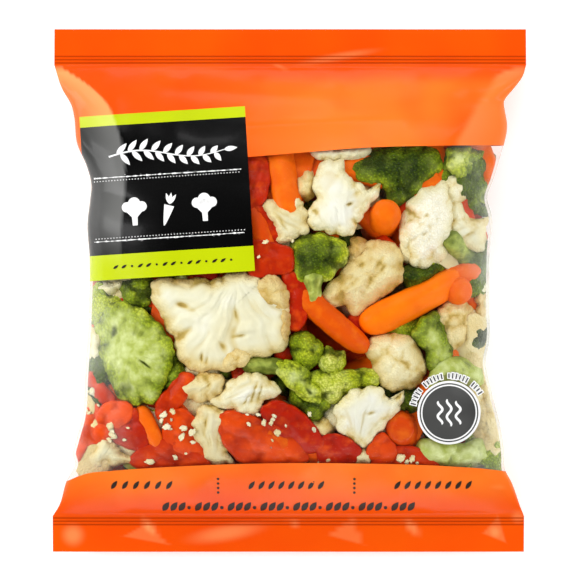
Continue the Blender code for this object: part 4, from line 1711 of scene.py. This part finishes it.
# Pepper and other red pieces, drawn in the same way
PEPPERS = (
    ("strip", 0.15, 0.10, 2.2, (257, 176), (257, 176), (
        (244, 150), (258, 151), (266, 160), (270, 178), (266, 196), (258, 206), (246, 204), (243, 180),
    ), ((256, 176, 20, 3, 70, -0.8),)),
    ("strip", 0.22, 0.12, 1.4, (270, 258), (270, 258), (
        (248, 245), (262, 241), (280, 246), (291, 251), (295, 262), (288, 271), (270, 275), (252, 273),
    ), ((270, 258, 26, 4, 5, 0.6),)),
    ("strip", 0.06, 0.05, 3.4, (295, 298), (295, 298), (
        (284, 272), (298, 276), (310, 290), (308, 308), (300, 326), (288, 324), (289, 302), (283, 286),
    ), ()),
    ("strip", 0.95, 0.75, 0.6, (115, 417), (115, 417), (
        (99, 411), (111, 402), (126, 404), (132, 413), (125, 424), (116, 433), (105, 429), (97, 420),
    ), ()),
    ("strip", 0.35, 0.20, 1.6, (98, 388), (98, 388), (
        (87, 370), (98, 374), (107, 386), (114, 397), (110, 406), (98, 403), (89, 394), (85, 382),
    ), ()),
    ("strip", 0.12, 0.08, 1.2, (129, 432), (129, 432), (
        (111, 430), (124, 423), (134, 410), (142, 424), (148, 441), (139, 450), (126, 448), (114, 441),
    ), ()),
    ("strip", 0.80, 0.60, 1.6, (92, 426), (92, 426), (
        (80, 398), (94, 401), (101, 418), (113, 434), (102, 442), (88, 446), (77, 462), (74, 440),
        (76, 416),
    ), ()),
    ("strip", 0.45, 0.25, 1.2, (168, 457), (168, 457), (
        (148, 446), (168, 440), (186, 448), (200, 457), (206, 467), (180, 472), (156, 472), (138, 468),
        (132, 459),
    ), ()),
    ("strip", 0.75, 0.45, 1.8, (184, 436), (184, 436), (
        (166, 418), (179, 411), (193, 418), (203, 438), (205, 456), (193, 464), (176, 453), (164, 437),
    ), ((182, 436, 18, 5, -70, 0.7),)),
    ("strip", 0.40, 0.30, 2.6, (172, 396), (172, 396), (
        (156, 404), (168, 388), (180, 374), (193, 378), (187, 396), (174, 412), (160, 418),
    ), ()),
    ("strip", 0.70, 0.42, 1.0, (262, 438), (262, 438), (
        (225, 414), (246, 416), (264, 422), (282, 430), (298, 443), (303, 460), (270, 464), (246, 462),
        (230, 448), (222, 430),
    ), ((262, 440, 40, 6, -28, 0.8),)),
    ("strip", 0.05, 0.03, 1.6, (290, 426), (290, 426), (
        (265, 408), (276, 403), (291, 406), (306, 418), (317, 432), (320, 447), (305, 454), (290, 444),
        (275, 432), (264, 418),
    ), ((284, 416, 18, 4, -40, 0.8), (300, 436, 12, 4, -50, 0.8))),
    ("strip", 0.03, 0.02, 1.8, (342, 450), (342, 450), (
        (320, 441), (335, 435), (354, 442), (362, 456), (346, 466), (322, 464),
    ), ()),
    ("strip", 0.35, 0.20, 1.4, (424, 458), (424, 458), (
        (382, 452), (402, 447), (420, 449), (434, 458), (440, 467), (424, 472), (400, 472), (376, 466),
    ), ()),
    ("strip", 0.70, 0.50, 1.4, (382, 448), (382, 448), (
        (370, 445), (383, 434), (394, 444), (397, 459), (381, 465), (367, 458),
    ), ()),
    ("strip", 0.10, 0.06, 4.2, (266, 225), (266, 225), (
        (250, 204), (270, 202), (281, 216), (280, 236), (268, 250), (250, 248),
    ), ()),
)
# Pieces of the darkest tone behind the gaps between the ones in front, as painted shade in those gaps:
# pixel x, y and radius in pixels
BACKINGS = (
    (148, 307, 13), (285, 355, 10), (281, 385, 12), (150, 405, 10), (389, 391, 12), (358, 324, 11),
    (348, 239, 11), (365, 145, 14), (271, 190, 10), (205, 278, 13), (170, 277, 12), (440, 146, 12),
    (224, 374, 10), (240, 374, 9), (187, 405, 8),
)
# Carrots: pixel x, y, length, radius in mm, in-plane angle, tilt up, depth, tone
CARROTS = (
    (415, 299, 60, 7.6, 27, 0, 1.6, 1.0), (455, 293, 26, 7.9, 25, 80, -0.2, 0.60),
    (333, 320, 46, 6.2, -41, 0, 1.8, 0.28), (380, 222, 34, 8.0, 60, 66, 0.2, 0.70),
    (148, 428, 24, 4.4, -62, 10, 0.6, 0.60), (404, 430, 32, 8.4, 120, 68, 0.2, 0.08),
    (262, 434, 42, 7.6, -30, 5, 0.9, 0.25), (182, 436, 34, 6.2, -80, 8, 2.6, 0.15),
    (283, 177, 46, 7.6, -80, 4, 1.2, 0.55), (256, 226, 32, 7.4, -70, 8, 2.2, 0.10),
    (300, 452, 40, 7.0, -18, 4, 3.0, 0.15), (466, 276, 24, 7.0, 10, 20, 2.0, 0.50),
    (120, 410, 30, 6.0, -50, 6, 3.5, 0.10),
)
# Pixel boxes that hold crumbs, and how many
CRUMB_FIELDS = (
    (88, 388, 104, 420, 7), (104, 420, 134, 450, 8), (150, 410, 200, 466, 13), (236, 412, 266, 424, 4),
    (262, 412, 318, 446, 10), (256, 240, 296, 262, 3), (390, 450, 440, 464, 4),
)


def pebble_turn(angle, tilt):
    """Rotation for pieces that lie along X: tilt up, then turn in the plane."""
    turn = Matrix.Rotation(math.radians(angle), 3, "Z") @ Matrix.Rotation(math.radians(-tilt), 3, "Y")
    return np.array(turn).T


# Mesh pitch in millimetres of florets at the bag's sides and of those lower down
VOXELS = {"side": 1.7, "low": 2.8}
# Hidden florets, one unit wide: seed, lobes, bumps, reach of the dome, size of a lobe, size of a bump,
# length and radius of the trunk, spread of the dome, and directions of leaf stumps
FLORETS = {
    "cauliflower": (
        (21, 10, 30, 0.27, 0.215, 0.28, (0.52, 0.165), 1.5, (0.2, 2.6)),
        (22, 13, 28, 0.30, 0.185, 0.28, (0.40, 0.135), 1.8, ()),
        (23, 15, 28, 0.31, 0.175, 0.28, (0.30, 0.130), 1.95, ()),
        (24, 8, 30, 0.26, 0.215, 0.28, (0.66, 0.120), 1.35, ()),
    ),
    "broccoli": (
        (31, 11, 34, 0.33, 0.165, 0.26, (0.70, 0.150), 1.65, ()),
        (32, 16, 30, 0.36, 0.145, 0.26, (0.40, 0.120), 1.95, ()),
        (33, 12, 32, 0.33, 0.165, 0.26, (0.45, 0.120), 1.8, ()),
        (34, 9, 32, 0.32, 0.175, 0.26, (0.58, 0.125), 1.55, ()),
    ),
}
FLORET_SIZE_MM = 34.0
# Width and depth of the grains in millimetres
FLORET_GRAINS = {"cauliflower": (3.0, 1.0), "broccoli": (2.0, 1.05)}

# Hidden layers: height in millimetres, how many pieces, and how far out they reach
LAYERS = ((11.0, 34, 0.86), (20.0, 38, 0.94), (29.0, 44, 0.96), (38.0, 48, 0.95), (46.0, 40, 0.80))
LAYER_KINDS = ("cauliflower", "broccoli", "carrot", "pepper", "pepper", "carrot")
SIDE_KINDS = ("cauliflower", "broccoli", "cauliflower", "carrot", "broccoli", "cauliflower", "pepper")
# Step and start of two evenly spread sequences, for x and y, and half the width that they cover
SPREAD = ((0.754877666, 0.31), (0.569840291, 0.17))
SPREAD_HALF_MM = 92.0


def floret_shapes(kind, voxel):
    """The hidden florets of one kind, at one mesh pitch."""
    return [floret(*row, FLORET_SIZE_MM, voxel, *FLORET_GRAINS[kind]) for row in FLORETS[kind]]


def press_pieces(heap, table, pitch, seed):
    """Puts each pressed piece of a table under the film."""
    for i, (name, tone, rim_tone, depth, core, stem, outline_px, marks) in enumerate(table):
        shape = pressed_piece(LOOKS[name], outline_px, core, stem, marks, pitch, seed + i)
        heap.press(shape, depth, tone, rim_tone)


def place_backings(heaps):
    """Round pieces of the darkest tone well below the film, green and red by turns: painted shade in the
    gaps.
    """
    turns = np.linspace(0.0, 2 * math.pi, 8, endpoint=False)
    for i, (px, py, radius) in enumerate(BACKINGS):
        outline_px = np.column_stack([px + radius * np.cos(turns), py + radius * np.sin(turns)])
        kind, look = (("broccoli", "beads"), ("pepper", "strip"))[i % 2]
        shape = pressed_piece(LOOKS[look], outline_px, (px, py), (px, py), (), 1.6, 130 + i)
        heaps[kind].press(shape, 8.5, 0.05, 0.02)


def place_carrots(heap):
    """Carrots that show: flat ones follow the film, steep ones stand with an end up."""
    for i, (px, py, length, radius, angle, tilt, depth, tone) in enumerate(CARROTS):
        shape = carrot(i + 1, length, radius)
        points = place_at(shape.points @ pebble_turn(angle, tilt), px, py)
        if abs(tilt) > 30:
            heap.put(shape, under_film(points, depth, 3.0), tone)
            continue
        points[:, :2] /= NEARNESS
        points[:, 2] -= points[:, 2].max()
        shape.points, shape.rim = points, shape.head
        heap.press(shape, depth, tone, tone)


def place_crumbs(heap):
    """Crumbs scattered in their boxes, close under the film."""
    rng = random.Random(71)
    shapes = [crumb(seed) for seed in range(5)]
    for left, top, right, bottom, count in CRUMB_FIELDS:
        for _ in range(count):
            shape = rng.choice(shapes)
            size = 1.5 + 3.6 * rng.random() ** 2
            points = turned(shape.points * size, rng.uniform(0, 360), rng.uniform(0, 90))
            points = place_at(points, rng.uniform(left, right), rng.uniform(top, bottom))
            heap.put(shape, under_film(points, 0.1, 10.0), rng.uniform(0.42, 0.85))


def fill_under(heaps, shapes):
    """Vegetables below and beside the ones that show, so that the bag is full from every side."""
    rng = random.Random(5)
    for layer_z, count, reach in LAYERS:
        for i in range(count):
            x, y = filler_spot(i + int(layer_z) * 7, reach, rng)
            kind = rng.choice(LAYER_KINDS)
            place = (x, y, layer_z + rng.uniform(-3, 3))
            add_filler(heaps[kind], kind, shapes, place, 7.5, "low", rng)


def fill_sides(heaps, shapes):
    """Vegetables that press against the film along both sides."""
    rng = random.Random(9)
    for side, outline_mm in ((-1, LEFT_OUTLINE_MM), (1, RIGHT_OUTLINE_MM)):
        for i, y in enumerate(np.linspace(-78.0, 66.0, 9)):
            x = outline(y * MM, outline_mm) / MM - side * 10.0
            kind = SIDE_KINDS[(i * 2 + (side > 0)) % len(SIDE_KINDS)]
            place = (x, y + rng.uniform(-3, 3), 31.0 - abs(y) * 0.05 + rng.uniform(-3, 3))
            add_filler(heaps[kind], kind, shapes, place, 2.5, "side", rng)


def filler_spot(i, reach, rng):
    """Evenly spread places in the bag's outline, in millimetres."""
    half = SPREAD_HALF_MM * reach
    u, v = ((i * step + start) % 1.0 * 2.0 - 1.0 for step, start in SPREAD)
    return half * u + rng.uniform(-3, 3), half * v + rng.uniform(-3, 3)


def add_filler(heap, kind, shapes, place, clearance, grade, rng):
    """One hidden vegetable at a place in millimetres."""
    tone = rng.uniform(0.1, 0.7)
    if kind == "carrot":
        shape = carrot(rng.randint(1, 99), rng.uniform(34, 52), rng.uniform(6.4, 7.8), 18, 20)
        points = shape.points @ pebble_turn(rng.uniform(0, 180), rng.uniform(-12, 12))
    elif kind == "pepper":
        shape = pepper(rng.randint(1, 99), rng.uniform(24, 34), rng.uniform(14, 18), 4.6)
        points = shape.points @ pebble_turn(rng.uniform(0, 180), rng.uniform(-25, 25))
    else:
        shape = rng.choice(shapes[kind][grade])
        width = rng.uniform(29, 37)
        aim, lift, roll = rng.uniform(0, 360), rng.uniform(-60, 60), rng.uniform(0, 360)
        points = turned(shape.points * width, aim, lift, roll)
        points = points - points.mean(axis=0)
    heap.put(shape, points + np.array(place), tone, clearance + rng.uniform(0.0, 1.5))


def vegetables():
    """All contents, one piece for each kind."""
    shapes = {
        kind: {grade: floret_shapes(kind, voxel) for grade, voxel in VOXELS.items()} for kind in FLORETS
    }
    heaps = {name: Heap() for name in ("cauliflower", "broccoli", "carrot", "pepper", "crumb")}
    press_pieces(heaps["cauliflower"], CAULIFLOWERS, 1.0, 10)
    press_pieces(heaps["broccoli"], BROCCOLIS, 0.95, 50)
    press_pieces(heaps["pepper"], PEPPERS, 1.1, 90)
    place_backings(heaps)
    place_carrots(heaps["carrot"])
    place_crumbs(heaps["crumb"])
    fill_under(heaps, shapes)
    fill_sides(heaps, shapes)
    white = curd()
    return [
        (heaps["cauliflower"].piece("cauliflower_florets", white), "cauliflower"),
        (heaps["broccoli"].piece("broccoli_florets", green_floret()), "broccoli"),
        (heaps["carrot"].piece("baby_carrots", carrot_flesh()), "carrot"),
        (heaps["pepper"].piece("pepper_strips", pepper_skin()), "red_pepper"),
        (heaps["crumb"].piece("floret_crumbs", white), "cauliflower"),
    ]


# Camera, lights and floor

CAMERA_DISTANCE = 4.0
PHOTO_WIDTH_PIXELS = 580
VIEW_WIDTH = PHOTO_WIDTH_PIXELS * MM_PER_PIXEL * MM
SENSOR_MM = 36.0
# Soft lights: name, place, size, power, and whether the film mirrors them
LIGHTS = (
    ("left", (-2.0, 0.5, 1.6), (1.2, 1.2), 34.0, False),
    ("right", (2.0, -0.4, 1.6), (1.2, 1.2), 22.0, False),
    ("far", (0.2, 2.1, 1.6), (1.6, 0.7), 17.0, False),
    ("near", (-0.2, -2.1, 1.6), (1.4, 0.7), 13.0, False),
    ("left_gloss", (-2.2, 0.5, 1.1), (0.5, 1.4), 9.0, True),
    ("right_gloss", (2.2, 0.2, 1.0), (0.4, 1.2), 4.0, True),
    ("far_gloss", (0.2, 2.2, 1.25), (1.5, 0.16), 3.0, True),
)
# Brightness of the world from the horizon up, as light and as the film mirrors it
SKY_LIGHT = ((0.0, 1.0), (0.35, 0.9), (0.75, 0.5), (1.0, 0.4))
SKY_MIRRORED = ((0.0, 0.5), (0.35, 0.22), (0.75, 0.05), (1.0, 0.02))
SKY_STRENGTH = 0.72


def camera():
    """Looks straight down on the bag from far away, at the photograph's scale."""
    data = bpy.data.cameras.new("camera")
    data.sensor_width = SENSOR_MM
    data.lens = SENSOR_MM * (CAMERA_DISTANCE - SEAL_HEIGHT) / VIEW_WIDTH
    data.clip_end = 20.0
    thing = bpy.data.objects.new("camera", data)
    thing.location = (0.3 * MM, 0.25 * MM, CAMERA_DISTANCE)
    bpy.context.scene.collection.objects.link(thing)
    bpy.context.scene.camera = thing


def area_light(name, place, size, power, mirrored):
    """A soft light that faces the bag. The film mirrors it only where mirrored is true."""
    data = bpy.data.lights.new(name, "AREA")
    data.shape = "RECTANGLE"
    data.size, data.size_y = size
    data.energy = power
    thing = bpy.data.objects.new(name, data)
    thing.location = place
    thing.rotation_euler = Vector(place).to_track_quat("Z", "Y").to_euler()
    thing.visible_glossy = mirrored
    bpy.context.scene.collection.objects.link(thing)


def sky():
    """World light: pale at the horizon and dim overhead, where the flat film would mirror it."""
    world = bpy.data.worlds.new("world")
    world.use_nodes = True
    tree = world.node_tree
    place = add(tree, "ShaderNodeTexCoord")
    split = add(tree, "ShaderNodeSeparateXYZ")
    tree.links.new(place.outputs["Generated"], split.inputs["Vector"])
    light = ramp_value(tree, split.outputs["Z"], SKY_LIGHT)
    mirrored = ramp_value(tree, split.outputs["Z"], SKY_MIRRORED)
    path = add(tree, "ShaderNodeLightPath")
    background = tree.nodes["Background"]
    tint = mix(tree, path.outputs["Is Glossy Ray"], light, mirrored)
    tree.links.new(tint, background.inputs["Color"])
    background.inputs["Strength"].default_value = SKY_STRENGTH
    bpy.context.scene.world = world


def surroundings():
    """White floor, pale world and soft lights."""
    made, shader = material("floor")
    shader.inputs["Base Color"].default_value = (0.95, 0.95, 0.95, 1.0)
    shader.inputs["Roughness"].default_value = 0.9
    shader.inputs["Emission Color"].default_value = (1.0, 1.0, 1.0, 1.0)
    shader.inputs["Emission Strength"].default_value = 0.34
    floor = new_object("floor", [(-3, -3, 0), (3, -3, 0), (3, 3, 0), (-3, 3, 0)], [(0, 1, 2, 3)], made)
    sky()
    for light in LIGHTS:
        area_light(*light)
    bpy.context.scene.view_settings.view_transform = "Standard"
    bpy.context.scene.view_settings.look = "None"


# Slot name paired with each film piece; no slot is set from it
FILM_SLOTS = {
    "printed_ends": "orange_print",
    "window_film": "clear_film",
    "label_black": "label_black",
    "label_lime": "label_lime",
}


def main():
    """Builds the film, the print on it and the contents, and lights them."""
    film = {
        "printed_ends": orange_ink(),
        "window_film": clear_film(),
        "label_black": ink("label_black"),
        "label_lime": ink("label_lime"),
    }
    pieces = film_pieces(film)
    placed = [(piece, FILM_SLOTS[name]) for name, piece in pieces.items()]
    shades = {"white": ink("label_white"), "dark": ink("dark_print"), "badge": ink("badge_grey")}
    for piece in printed_shapes(shades) + badge(shades):
        slot = "label_white" if piece.data.materials[0] == shades["white"] else "label_black"
        placed.append((piece, slot))
    placed.append((back_seam(film["window_film"]), "clear_film"))
    for piece, slot in placed + vegetables():
        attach(piece, "root")
    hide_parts("bag")
    camera()
    surroundings()


main()
